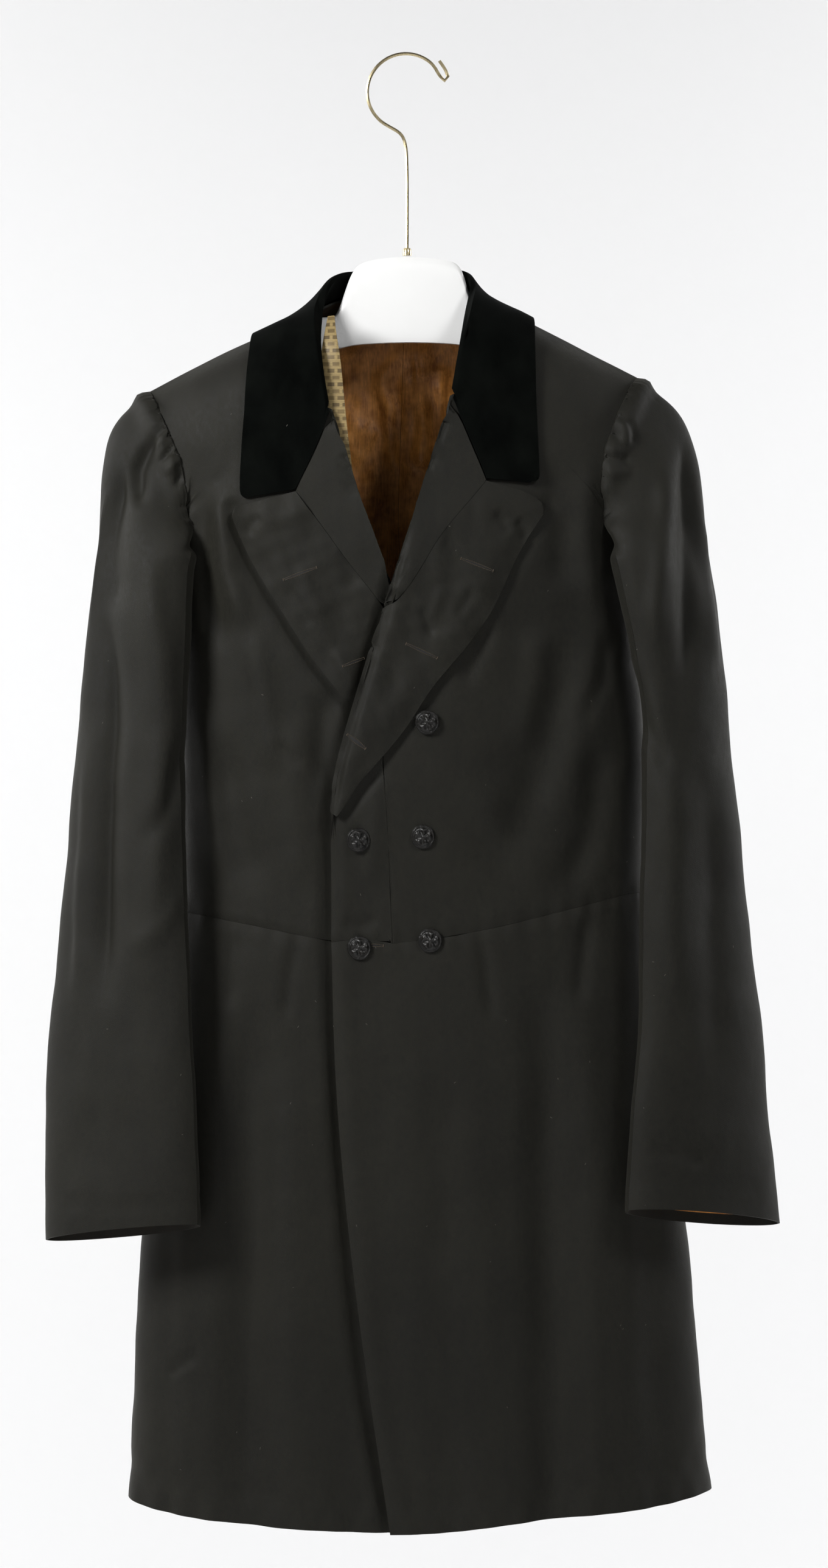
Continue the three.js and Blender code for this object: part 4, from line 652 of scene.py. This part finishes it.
def edge_field(name, x, y, z):
    """How far out a front piece is moved beside the free edges that lie on it or are its own."""
    out = np.zeros(x.shape)
    distance, _ = along(FRONT_EDGE, x, z)
    edge_x = np.interp(-z, [-p[1] for p in FRONT_EDGE], [p[0] for p in FRONT_EDGE])
    beyond = np.where(x < edge_x, distance, -distance)
    on_lapel = smooth(-640, -600, z)
    if name in ("forepart_left", "skirt_left", "lapel_left", "facing_left"):
        # The left front sinks towards the edge that lies over it.
        out -= 5.0 * smooth(13, 1, beyond) * smooth(-400, -450, z)
        out -= 4.0 * smooth(95, 5, beyond) * smooth(-740, -840, z)
    if name in ("forepart_right", "skirt_right", "lapel_strip_right", "lapel_right", "facing_right"):
        # The right front's edge is rolled, and softer on the lapel than below it.
        out += 1.3 * np.exp(-(((beyond + 9) / 9) ** 2)) * smooth(-380, -430, z)
        out -= (2.6 * on_lapel + 0.6) * smooth(-7, 0, beyond) ** 2 * smooth(-380, -430, z)
    side = name.split("_")[-1]
    distance, share = along(LAPEL_EDGES[side], x, z)
    lower = 1 - 0.7 * smooth(0.75, 1, share)
    if name in ("lapel_left", "lapel_right"):
        top, _ = along(LAPEL_TOPS[side], x, z)
        inside = np.minimum(distance, top)
        out += (2.6 if side == "left" else 1.6) * np.exp(-(((inside - 17) / 11) ** 2)) * lower
        out += 0.55 * ripples(x, y, z, 38, 31) + 0.22 * ripples(x, y, z, 17, 32)
        out += 1.8 * creased(LAPEL_CREASES, x, z)
    elif name.startswith("forepart"):
        out -= (4.4 if side == "left" else 1.5) * smooth(12, 0, distance) * lower
    return out * smooth(*FRONT_FADE, y)


def body_field(x, y, z):
    """How far out the body's cloth is moved, in millimetres."""
    front = smooth(12, -12, y)
    out = 2.1 * (creased(FRONT_CREASES, x, z) * front + creased(BACK_CREASES, x, z) * (1 - front))
    out += 0.75 * ripples(x, y, z, 120, 3) + 0.3 * ripples(x, y, z, 46, 4)
    distance, _ = along(WAIST_SEAM, x, z)
    wave = np.sin(x * 2 * math.pi / PUCKER["pitch"] + 1.3 * np.sin(x / 29))
    out += front * PUCKER["depth"] * wave * np.exp(-((distance / PUCKER["reach"]) ** 2))
    out -= front * 1.3 * np.exp(-((distance / 2.4) ** 2))
    hem, _ = along(HEM_LINE, x, z)
    wave = np.sin(x * 2 * math.pi / HEM_BULGE["pitch"] + 1.7 * np.sin(x / 37))
    near_hem = np.exp(-(((hem - HEM_BULGE["up"]) / HEM_BULGE["width"]) ** 2))
    out += HEM_BULGE["depth"] * np.exp(-((hem / 14) ** 2)) - 0.8 * near_hem * (1 + 0.6 * wave)
    out += HEM_BULGE["pucker"] * wave * np.exp(-((hem / 16) ** 2))
    return out * smooth(-196, -262, z)


BODY_MIDDLE = {"x": 4, "wide": 205, "deep": 62}


def body_outward(points):
    """The direction out from the body's middle, level."""
    x = (points[:, 0] / MM - BODY_MIDDLE["x"]) / BODY_MIDDLE["wide"] ** 2
    y = points[:, 1] / MM / BODY_MIDDLE["deep"] ** 2
    y = np.where(np.abs(y) < 1e-6, -1e-6, y)
    direction = np.stack([x, y, np.zeros_like(x)], axis=1)
    return direction / np.linalg.norm(direction, axis=1, keepdims=True)


def hang_on_body(obj, name):
    points = points_of(obj)
    x, y, z = (points / MM).T
    out = body_field(x, y, z) + (edge_field(name, x, y, z) if not name.startswith("back") else 0)
    set_points(obj, points + body_outward(points) * out[:, None] * MM)


# Creases of the sleeves: u is millimetres round from the outer edge, towards the front.
SLEEVE_CREASES = {
    "left": [
        ([(30, -338), (24, -400), (30, -470)], 9, -2.6),
        ([(44, -380), (50, -420), (70, -500), (76, -559), (73, -659), (70, -780)], 13, 2.8),
        ([(16, -430), (28, -500), (34, -559), (34, -659), (36, -800)], 11, -4.2),
        ([(8, -560), (12, -660), (14, -790)], 9, 1.6),
        ([(92, -560), (84, -620), (60, -660)], 8, -1.6),
        ([(96, -690), (80, -720), (50, -740)], 8, 1.1),
        # the cuff's line of stitches, as on the other sleeve
        ([(0, -945), (24, -945), (118, -939)], 2.2, -0.6, 0.03),
    ],
    "right": [
        ([(22, -308), (24, -390), (34, -444), (48, -525)], 8, -3.4),
        ([(40, -330), (44, -400), (58, -450), (70, -500)], 9, 2.4),
        ([(10, -330), (10, -420), (16, -520)], 9, 1.8),
        ([(60, -560), (64, -680), (66, -800)], 13, 1.8),
        ([(34, -580), (34, -700), (40, -860)], 13, -1.6),
        ([(92, -500), (80, -560), (60, -600)], 8, -1.5),
        ([(96, -895), (70, -902), (40, -908)], 5, -1.5),
        ([(108, -921), (56, -928), (0, -934)], 2.2, -0.6, 0.03),
    ],
}
# Gathers of the sleeves' heads, from the armhole's seam, at x and z.
GATHERS = {
    "left": [
        ([(-186, -300), (-197, -309), (-205, -317)], 2.6, -1.9),
        ([(-184, -308), (-196, -318), (-206, -330)], 3, 1.7),
        ([(-181, -316), (-192, -328), (-201, -343)], 2.6, -2.1),
        ([(-179, -325), (-188, -338), (-195, -352)], 3, 1.6),
        ([(-177, -334), (-184, -347), (-189, -361)], 2.6, -1.8),
        ([(-175, -344), (-180, -356), (-183, -368)], 3, 1.2),
        ([(-194, -310), (-212, -330), (-219, -345), (-219, -380)], 6, -2.6),
    ],
    "right": [
        ([(166, -303), (172, -316), (174, -328)], 2.6, -1.9),
        ([(172, -301), (179, -315), (181, -330)], 3, 1.7),
        ([(178, -302), (186, -316), (188, -326)], 3.4, -1.2),
        ([(163, -312), (166, -324), (168, -340)], 3, 1.6),
        ([(159, -333), (170, -337), (185, -336)], 3.4, -2.0),
        ([(158, -345), (170, -350), (186, -347)], 4, 1.5),
    ],
}
GATHER_GAIN = {"left": 2.3, "right": 1.5}


def sleeve_axis(side, z):
    """The middle of a sleeve at heights z, from its CAD tube."""
    tube = [nodes[f"{part}_{side}"] for part in ("topsleeve", "undersleeve")]
    points = np.concatenate([points_of(part) for part in tube]) / MM
    levels = np.linspace(-960, -400, 15)
    xs, ys = [], []
    for level in levels:
        near = points[np.abs(points[:, 2] - level) < 45]
        xs.append((near[:, 0].min() + near[:, 0].max()) / 2)
        ys.append((near[:, 1].min() + near[:, 1].max()) / 2)
    return np.interp(z, levels, xs), np.interp(z, levels, ys)


HEAD_ROLL = {"out": 5.4, "from_seam": 8, "width": 8}
# How far the sleeves are moved in under the arms, and forward as a share of that. It sets in over
# a range of depths y, and of distances from the middle x.
UNDERARM_FILL = {"left": {"in": 13, "z": -400, "width": 17}, "right": {"in": 7.5, "z": -398, "width": 15},
                 "forward": 0.35, "y": (-4, -28), "x": (214, 190)}


def normals_of(obj):
    normals = np.empty(len(obj.data.vertices) * 3)
    obj.data.vertices.foreach_get("normal", normals)
    return normals.reshape(-1, 3)


def hang_sleeve(obj, side):
    points = points_of(obj)
    x, y, z = (points / MM).T
    sign = -1 if side == "left" else 1
    middle_x, middle_y = sleeve_axis(side, z)
    away = np.stack([(x - middle_x) / 1.7, y - middle_y, np.zeros_like(x)], axis=1)
    away /= np.maximum(np.linalg.norm(away, axis=1, keepdims=True), 1e-6)
    outer = middle_x + sign * 48
    round_front = np.abs(outer - x)
    front = smooth(6, -6, y - middle_y)
    out = 2.2 * creased(SLEEVE_CREASES[side], round_front, z) * front
    out += 0.8 * ripples(x, y, z, 100, 11 if side == "left" else 12)
    out += 0.3 * ripples(x, y, z, 40, 13)
    if "lining" in obj.name:
        set_points(obj, points + away * (out - 0.5)[:, None] * MM)
        return
    armhole = tree_of([p for panel in (f"forepart_{side}", f"back_{side}") for p in edges_of(panel)
                       if abs(p.x) > ARMHOLE["across"] and p.z > ARMHOLE["low"]])
    from_seam = np.array([armhole.find(Vector(p))[2] / MM if p[2] > -0.46 else 99.0 for p in points])
    free = smooth(2, 14, from_seam)
    # The head of the sleeve is rolled up a little beyond its seam.
    normals = normals_of(obj)
    upward = away + np.array([sign * 0.4, 0, 0.9]) * smooth(-345, -300, z)[:, None]
    normals *= np.sign((normals * upward).sum(axis=1))[:, None]
    roll = HEAD_ROLL["out"] * np.exp(-(((from_seam - HEAD_ROLL["from_seam"]) / HEAD_ROLL["width"]) ** 2))
    roll *= smooth(-385, -335, z)
    moved = points + away * (out * free)[:, None] * MM + normals * roll[:, None] * MM
    moved += body_outward(points) * (body_field(x, y, z) * (1 - free))[:, None] * MM
    gathers = GATHER_GAIN[side] * creased(GATHERS[side], x, z) * smooth(0.5, 4, from_seam) * front
    moved += normals * gathers[:, None] * MM
    row = UNDERARM_FILL[side]
    fill = row["in"] * np.exp(-(((z - row["z"]) / row["width"]) ** 2))
    fill *= smooth(*UNDERARM_FILL["y"], y) * smooth(*UNDERARM_FILL["x"], np.abs(x))
    moved[:, 0] -= sign * fill * MM
    moved[:, 1] -= UNDERARM_FILL["forward"] * fill * MM
    set_points(obj, moved)


# Seams that are drawn shut: a piece's edge goes to the nearest edge of the others. The columns:
# piece, others, how far apart the edges may be, how far the pull is felt in the cloth, gap left,
# and the side of the lapel whose outer edge stays free.
SEAMS = [
    ("skirt_left", ["forepart_left"], 3.5, 8, 0.15),
    ("skirt_right", ["forepart_right", "lapel_strip_right"], 5.5, 8, 0.15),
    ("lapel_strip_right", ["forepart_right"], 6, 8, 0.45),
    ("facing_left", ["forepart_left"], 5, 9, -0.3),
    ("facing_right", ["forepart_right"], 5, 9, -0.3),
    ("facing_left", ["lapel_left"], 3.5, 6, 0.3),
    ("facing_right", ["lapel_right"], 3.5, 6, 0.3),
    ("lapel_left", ["forepart_left"], 5, 9, -0.3, "left"),
    ("lapel_right", ["forepart_right", "lapel_strip_right"], 5, 9, -0.3, "right"),
    ("back_left", ["forepart_left", "skirt_left", "back_right"], 5, 10, 0.15),
    ("back_right", ["forepart_right", "skirt_right"], 5, 10, 0.15),
    ("topsleeve_left", ["forepart_left", "back_left"], 6.5, 14, 0.3),
    ("topsleeve_right", ["forepart_right", "back_right"], 6.5, 14, 0.3),
    ("undersleeve_left", ["forepart_left", "back_left"], 6.5, 14, 0.3),
    ("undersleeve_right", ["forepart_right", "back_right"], 6.5, 14, 0.3),
    ("undersleeve_left", ["topsleeve_left"], 4, 9, 0.1),
    ("undersleeve_right", ["topsleeve_right"], 4, 9, 0.1),
]
ARMHOLE = {"across": 0.145, "low": -0.415, "under": 0.015}  # metres
FREE_EDGE = 5  # millimetres beside a lapel's outer edge that aren't drawn to the cloth under it
edge_cache = {}


def edges_of(name):
    """Points along the sharp edges of a CAD node."""
    if name not in edge_cache:
        bm = welded(name)
        samples = []
        for e in bm.edges:
            if len(e.link_faces) == 2 and e.calc_face_angle(0) > SHARP:
                a, b = e.verts[0].co, e.verts[1].co
                cells = max(2, int((b - a).length / (2 * MM)))
                samples += [a.lerp(b, k / cells) for k in range(cells + 1)]
        bm.free()
        edge_cache[name] = samples
    return edge_cache[name]


def tree_of(points):
    tree = KDTree(len(points))
    for i, p in enumerate(points):
        tree.insert(p, i)
    tree.balance()
    return tree


def draw_shut(obj, name):
    """Closes the seams of a piece, before its cloth is creased."""
    for piece, to, near_mm, reach_mm, gap, *free in SEAMS:
        if piece != name:
            continue
        others = [p for other in to for p in edges_of(other)]
        own = edges_of(name)
        at_armhole = "sleeve" in name and "sleeve" not in to[0]
        if at_armhole:
            others = [p for p in others if abs(p.x) > ARMHOLE["across"] and p.z > ARMHOLE["low"]]
            own = [p for p in own if p.z > ARMHOLE["low"] - ARMHOLE["under"]]
        if free:
            spots = np.array([tuple(p) for p in own]) / MM
            to_edge, _ = along(LAPEL_EDGES[free[0]], spots[:, 0], spots[:, 2])
            own = [p for p, distance in zip(own, to_edge) if distance > FREE_EDGE]
        target = tree_of(others)
        rim, moves = [], []
        for p in own:
            near, _, distance = target.find(p)
            if distance < near_mm * MM:
                rim.append(p)
                moves.append((near - p) * (1 - gap * MM / max(distance, 0.1 * MM)))
        if not rim:
            continue
        heads = tree_of(rim)
        reach = reach_mm * MM
        points = points_of(obj)
        for k in range(len(points)):
            found = heads.find_n(Vector(points[k]), 2)
            distance = found[0][2]
            if distance < reach:
                share = 1 - distance / reach
                move = sum((moves[i] for _, i, _ in found), Vector()) / len(found)
                points[k] += np.array(move) * share * share * (3 - 2 * share)
        set_points(obj, points)


# ---------------------------------------------------------------- pieces of cloth
# levels of subdivision, slot, flat cut (width, length) and its area in metres
CLOTH = {
    "forepart_left": (3, "wool", (0.28, 0.52), 0.1097, "hung"),
    "forepart_right": (3, "wool", (0.27, 0.53), 0.111, "hung"),
    "lapel_strip_right": (3, "wool", (0.06, 0.26), 0.0098, "hung"),
    "facing_left": (3, "wool", (0.05, 0.19), 0.0044, "folded"),
    "facing_right": (3, "wool", (0.05, 0.19), 0.0042, "folded"),
    "lapel_left": (3, "wool", (0.12, 0.28), 0.0153, "folded"),
    "lapel_right": (3, "wool", (0.12, 0.28), 0.0156, "folded"),
    "skirt_left": (3, "wool", (0.36, 0.51), 0.1575, "hung"),
    "skirt_right": (3, "wool", (0.38, 0.52), 0.1662, "hung"),
    "back_left": (3, "wool", (0.27, 1.02), 0.1982, "hung"),
    "back_right": (3, "wool", (0.28, 1.02), 0.2059, "hung"),
    "topsleeve_left": (3, "wool", (0.21, 0.72), 0.1218, "hung"),
    "topsleeve_right": (3, "wool", (0.21, 0.72), 0.1132, "hung"),
    "undersleeve_left": (3, "wool", (0.12, 0.63), 0.0513, "hung"),
    "undersleeve_right": (3, "wool", (0.12, 0.63), 0.0457, "hung"),
    "cuff_lining_left": (2, "lining", (0.28, 0.06), 0.0155, "hung"),
    "cuff_lining_right": (2, "lining", (0.28, 0.06), 0.0149, "hung"),
    "collar": (2, "velvet", (0.46, 0.12), 0.0499, "folded"),
    "back_lining_left": (3, "lining", (0.12, 0.25), 0.0256, "hung"),
    "back_lining_right": (3, "lining", (0.11, 0.25), 0.0222, "hung"),
    "lining_strip_left": (3, "pattern", (0.022, 0.145), 0.0025, "hung"),
}
BODY_PANELS = ["forepart_left", "forepart_right", "lapel_strip_right", "facing_left", "facing_right",
               "lapel_left", "lapel_right", "skirt_left", "skirt_right", "back_left", "back_right"]

# Wrinkles of the lining at the back of the neck.
LINING_CREASES = [
    ([(15, -280), (14, -320), (12, -345)], 6, 3.2),
    ([(7, -243), (9, -262), (10, -280)], 2.2, -1.6),
    ([(-5, -240), (-4, -300), (-3, -345)], 1.6, 0.9),
    ([(-22, -250), (-14, -290), (-12, -340)], 6, 1.6),
    ([(-34, -250), (-24, -300), (-18, -350)], 5, -1.5),
    ([(30, -250), (28, -290), (26, -330)], 5, 1.5),
    ([(-6, -259), (20, -260), (40, -259)], 1.8, 1.1),
    ([(-40, -262), (-24, -276), (-10, -300)], 4, 1.0),
    ([(-34, -300), (-16, -322), (0, -350)], 5, 1.2),
]


def hang_lining(obj):
    """The lining sags in folds towards the front, which is inwards."""
    points = points_of(obj)
    x, y, z = (points / MM).T
    inwards = 2.0 * creased(LINING_CREASES, x, z)
    inwards += 1.5 * ripples(x, y, z * 0.5, 24, 21) + 0.5 * ripples(x, y, z, 11, 22)
    inwards = np.clip(inwards + 1.2, 0, 6)
    points[:, 1] -= inwards * MM
    set_points(obj, points)


# Places where the coarse cloth is evened out: x, z and reach.
EVEN_OUT = {"forepart_left": (-161, -363, 27)}
SHORT_EDGE = 7 * MM
WALL_EDGE = 2.6 * MM  # longer than any edge through a wall


def at_rim(vert):
    """Whether an edge through the wall's thickness ends at the point."""
    ends = [(e.calc_length(), abs(e.verts[0].co.y - e.verts[1].co.y)) for e in vert.link_edges]
    return any(length < WALL_EDGE and depth > 0.7 * length for length, depth in ends)


def evened(bm, name):
    x, z, reach = EVEN_OUT[name]

    def inner():
        return [v for v in bm.verts if v.co.y < 0 and math.hypot(v.co.x / MM - x, v.co.z / MM - z) < reach
                and not at_rim(v)]

    near = set(inner())
    short = [e for e in bm.edges if e.calc_length() < SHORT_EDGE and all(v in near for v in e.verts)]
    bmesh.ops.collapse(bm, edges=short)
    near = inner()
    for _ in range(8):
        bmesh.ops.smooth_vert(bm, verts=near, factor=0.5, use_axis_x=True, use_axis_y=True, use_axis_z=True)
    return bm


def make_cloth(finishes):
    made = {}
    for name, (levels, slot, flat, area, held) in CLOTH.items():
        bm = evened(welded(name), name) if name in EVEN_OUT else welded(name)
        obj = subdivided(bm, f"{name}_cloth", levels)
        draw_shut(obj, name)
        round_corners(obj, name)
        if name.startswith(("lapel_left", "lapel_right", "facing", "forepart")):
            turn_over(obj, name)
        if name in BODY_PANELS:
            hang_on_body(obj, name)
        if "sleeve" in name or "cuff" in name:
            hang_sleeve(obj, name.split("_")[-1])
        if name.startswith("back_lining"):
            hang_lining(obj)
        obj.data.materials.clear()
        obj.data.materials.append(finishes[slot])
        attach(obj, "root")
        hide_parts(name)
        made[name] = obj
    return made


# ---------------------------------------------------------------- buttons
BUTTON = {"radius": 10.0, "petals": 5, "rim": 0.9, "dome": 3.4}
# The forms of a button's face: height, and its place and width as shares of the radius.
GROOVE = (-1.0, 0.78, 0.08)
PETAL = (0.95, 0.46, 0.2)
BOSS = (0.9, 0, 0.16)


def ring(share, height, middle, width):
    return height * np.exp(-(((share - middle) / width) ** 2))
BUTTON_TURNS = {"button_right_1": 0.3, "button_right_2": 1.1, "button_right_3": 0.7,
                "button_left_1": 2.0, "button_left_2": 1.5}  # radians


def button_height(radius, angle):
    """Height of the button's face, in millimetres: a padded rim and a plain rosette in relief."""
    share = radius / BUTTON["radius"]
    dome = BUTTON["dome"] * np.sqrt(np.clip(1 - share**5, 0, 1))
    petals = np.cos(angle * BUTTON["petals"]) * ring(share, *PETAL)
    return dome + ring(share, *GROOVE) + petals + ring(share, *BOSS)


def make_button(name, turn, finish):
    """A cloth-covered button, laid on the cloth as the CAD one is."""
    low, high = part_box(name)
    centre = (low + high) / 2
    points = [v.co for v in nodes[name].data.vertices]
    axis = button_axis(points, centre)
    back = min((p - centre).dot(axis) for p in points)
    base = centre + axis * back
    sideways = axis.orthogonal().normalized()
    up = axis.cross(sideways)
    rings, cells = 22, 60

    def spot(angle, radius):
        return base + (sideways * math.cos(angle) + up * math.sin(angle)) * radius * MM

    angles = [2 * math.pi * k / cells + turn for k in range(cells)]
    verts, faces = [], []
    for i in range(rings + 1):
        radius = BUTTON["radius"] * math.sin(math.pi / 2 * i / rings)
        for angle in angles:
            height = max(float(button_height(np.float64(radius), np.float64(angle))), BUTTON["rim"])
            verts.append(spot(angle, radius) + axis * height * MM)
    verts += [spot(angle, BUTTON["radius"] * 0.9) for angle in angles]
    for i in range(rings + 1):
        for k in range(cells):
            a, b = i * cells + k, i * cells + (k + 1) % cells
            faces.append((a, b, b + cells, a + cells))
    faces.append([(rings + 1) * cells + k for k in range(cells)])
    mesh = bpy.data.meshes.new(f"{name}_cloth")
    mesh.from_pydata(verts, [], faces)
    bm = bmesh.new()
    bm.from_mesh(mesh)
    bmesh.ops.remove_doubles(bm, verts=bm.verts, dist=1e-6)
    bmesh.ops.recalc_face_normals(bm, faces=bm.faces)
    bm.to_mesh(mesh)
    bm.free()
    mesh.shade_smooth()
    obj = bpy.data.objects.new(f"{name}_covered", mesh)
    bpy.context.collection.objects.link(obj)
    obj.data.materials.append(finish)
    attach(obj, "root")
    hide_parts(name)


def button_axis(points, centre):
    """The direction in which a disc of points is thinnest, towards the front."""
    spread = np.array([p - centre for p in points])
    _, _, axes = np.linalg.svd(spread, full_matrices=False)
    axis = Vector(axes[2]).normalized()
    return axis if axis.y < 0 else -axis


# ---------------------------------------------------------------- buttonholes and lint
# name, middle x and z, length, degrees from level, half the gap at its middle
BUTTONHOLES = [
    ("left_upper", -86.5, -432, 28, 20, 0.5),
    ("right_upper", 57.5, -425, 27, -21, 0.5),
    ("right_middle", 12.5, -495, 27, -25, 0.5),
    ("left_middle", -43, -504, 18, 22, 0.5),
    ("right_edge", -40.5, -568.5, 18, -38, 1.15),
    ("right_lower", -25, -734.5, 12, -4, 0.5),
]
SLIT_END = 0.08  # half the gap at its ends
STITCH = {"pitch": 0.75, "long": 0.85, "radius": 0.3, "lift": 0.15}
BAR = {"lift": 0.2, "past_end": 0.4, "sizes": (1.5, 0.5, 0.4)}  # across each end of a buttonhole


def surface_tree(objects):
    verts, faces = [], []
    for obj in objects:
        start = len(verts)
        verts += [v.co.copy() for v in obj.data.vertices]
        faces += [[start + i for i in p.vertices] for p in obj.data.polygons]
    return BVHTree.FromPolygons(verts, faces)


def on_front(tree, x, z):
    """The front's outermost point at x and z in millimetres, and its direction out."""
    place, normal, _, _ = tree.ray_cast(Vector((x * MM, -1, z * MM)), Vector((0, 1, 0)))
    if place is None:
        return None, None
    return place, normal if normal.y < 0 else -normal


def add_mesh(name, verts, faces, finish):
    mesh = bpy.data.meshes.new(name)
    mesh.from_pydata(verts, [], faces)
    mesh.shade_smooth()
    obj = bpy.data.objects.new(name, mesh)
    bpy.context.collection.objects.link(obj)
    obj.data.materials.append(finish)
    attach(obj, "root")


def bead(verts, faces, middle, long_way, wide_way, up, sizes):
    """A small closed lozenge, as one stitch."""
    start = len(verts)
    ring = 6
    for k in range(ring):
        angle = 2 * math.pi * k / ring
        verts.append(middle + long_way * sizes[0] * math.cos(angle) + wide_way * sizes[1] * math.sin(angle))
    verts.append(middle + up * sizes[2])
    verts.append(middle - up * sizes[2])
    for k in range(ring):
        a, b = start + k, start + (k + 1) % ring
        faces.append((a, b, start + ring))
        faces.append((b, a, start + ring + 1))


def make_buttonhole(row, tree, finish, slit_shade_finish):
    name, x, z, length, degrees, half_gap = row
    turn = math.radians(degrees)
    step = Vector((math.cos(turn), 0, math.sin(turn)))
    cross = Vector((-math.sin(turn), 0, math.cos(turn)))

    def spot(s, off):
        return on_front(tree, x + s * step.x + off * cross.x, z + s * step.z + off * cross.z)

    verts, faces, slit_verts = [], [], []
    count = int(length / STITCH["pitch"])
    for k in range(count + 1):
        s = (k / count - 0.5) * length
        open_half = half_gap * math.cos(math.pi * s / length) + SLIT_END
        for side in (-1, 1):
            place, normal = spot(s, side * (open_half + STITCH["long"] / 2))
            if place is None:
                continue
            bead(verts, faces, place + normal * STITCH["lift"] * MM, cross, step, normal,
                 (STITCH["long"] / 2 * MM, STITCH["pitch"] * 0.42 * MM, STITCH["radius"] * MM))
        # The slit is a near-black strip laid just over the cloth: painted shade for the buttonhole's
        # opening.
        for side in (-1, 1):
            place, normal = spot(s, side * open_half)
            if place is not None:
                slit_verts.append(place + normal * 0.12 * MM)
    pairs = len(slit_verts) // 2
    slit_faces = [(2 * k, 2 * k + 2, 2 * k + 3, 2 * k + 1) for k in range(pairs - 1)]
    for end in (-1, 1):
        s = end * (length / 2 + BAR["past_end"])
        place, normal = spot(s, 0)
        if place is not None:
            bead(verts, faces, place + normal * BAR["lift"] * MM, cross, step, normal,
                 tuple(size * MM for size in BAR["sizes"]))
    add_mesh(f"buttonhole_{name}", verts, faces, finish)
    add_mesh(f"slit_{name}", slit_verts, slit_faces, slit_shade_finish)


LINT = {"count": 70, "long": (0.6, 2.0), "wide": 0.08, "seed": 8}


def add_lint(tree, finish):
    """Pale fibres and specks that lie on the dark cloth."""
    random = np.random.default_rng(LINT["seed"])
    verts, faces = [], []
    for _ in range(LINT["count"]):
        x = random.uniform(-290, 300)
        z = random.uniform(-1190, -300)
        place, normal = on_front(tree, x, z)
        angle = random.uniform(0, math.pi)
        long = random.uniform(*LINT["long"]) / 2
        curl = random.uniform(-0.4, 0.4)
        if place is None:
            continue
        step = Vector((math.cos(angle), 0, math.sin(angle)))
        step = (step - normal * step.dot(normal)).normalized()
        cross = normal.cross(step)
        start = len(verts)
        for k in range(4):
            s = (k / 3 - 0.5) * 2 * long
            middle = place + (step * s + cross * curl * s * s + normal * 0.12) * MM
            for side in (-1, 1):
                verts.append(middle + cross * side * LINT["wide"] * MM)
        faces += [(k, k + 2, k + 3, k + 1) for k in range(start, start + 6, 2)]
    add_mesh("lint", verts, faces, finish)


# ---------------------------------------------------------------- hanger
def smooth_node(name, levels, finish):
    obj = subdivided(welded(name), f"{name}_smooth", levels)
    obj.data.materials.clear()
    obj.data.materials.append(finish)
    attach(obj, "root")
    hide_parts(name)


def main():
    add_camera()
    add_lights()
    add_floor()
    finishes = {
        "wool": wool(), "velvet": velvet(), "lining": lining(), "pattern": patterned(),
        "button": button_cloth(), "moulded": moulded(), "wire": plated_wire(),
    }
    made = make_cloth(finishes)
    front_pieces = [name for name in made if "lining" not in name and not name.startswith("back")]
    tree = surface_tree([made[name] for name in front_pieces])
    for name, turn in BUTTON_TURNS.items():
        make_button(name, turn, finishes["button"])
    hole_thread = thread("hole_thread", (0.062, 0.043, 0.022))
    # The slits' near-black finish is painted shade in the buttonholes' openings.
    slit = thread("slit_shadow", (0.004, 0.0035, 0.003))
    for row in BUTTONHOLES:
        make_buttonhole(row, tree, hole_thread, slit)
    add_lint(tree, thread("lint_fibre", (0.3, 0.28, 0.24)))
    smooth_node("hanger_body", 2, finishes["moulded"])
    smooth_node("hanger_hook", 1, finishes["wire"])
    smooth_node("hook_ferrule", 1, finishes["wire"])


main()
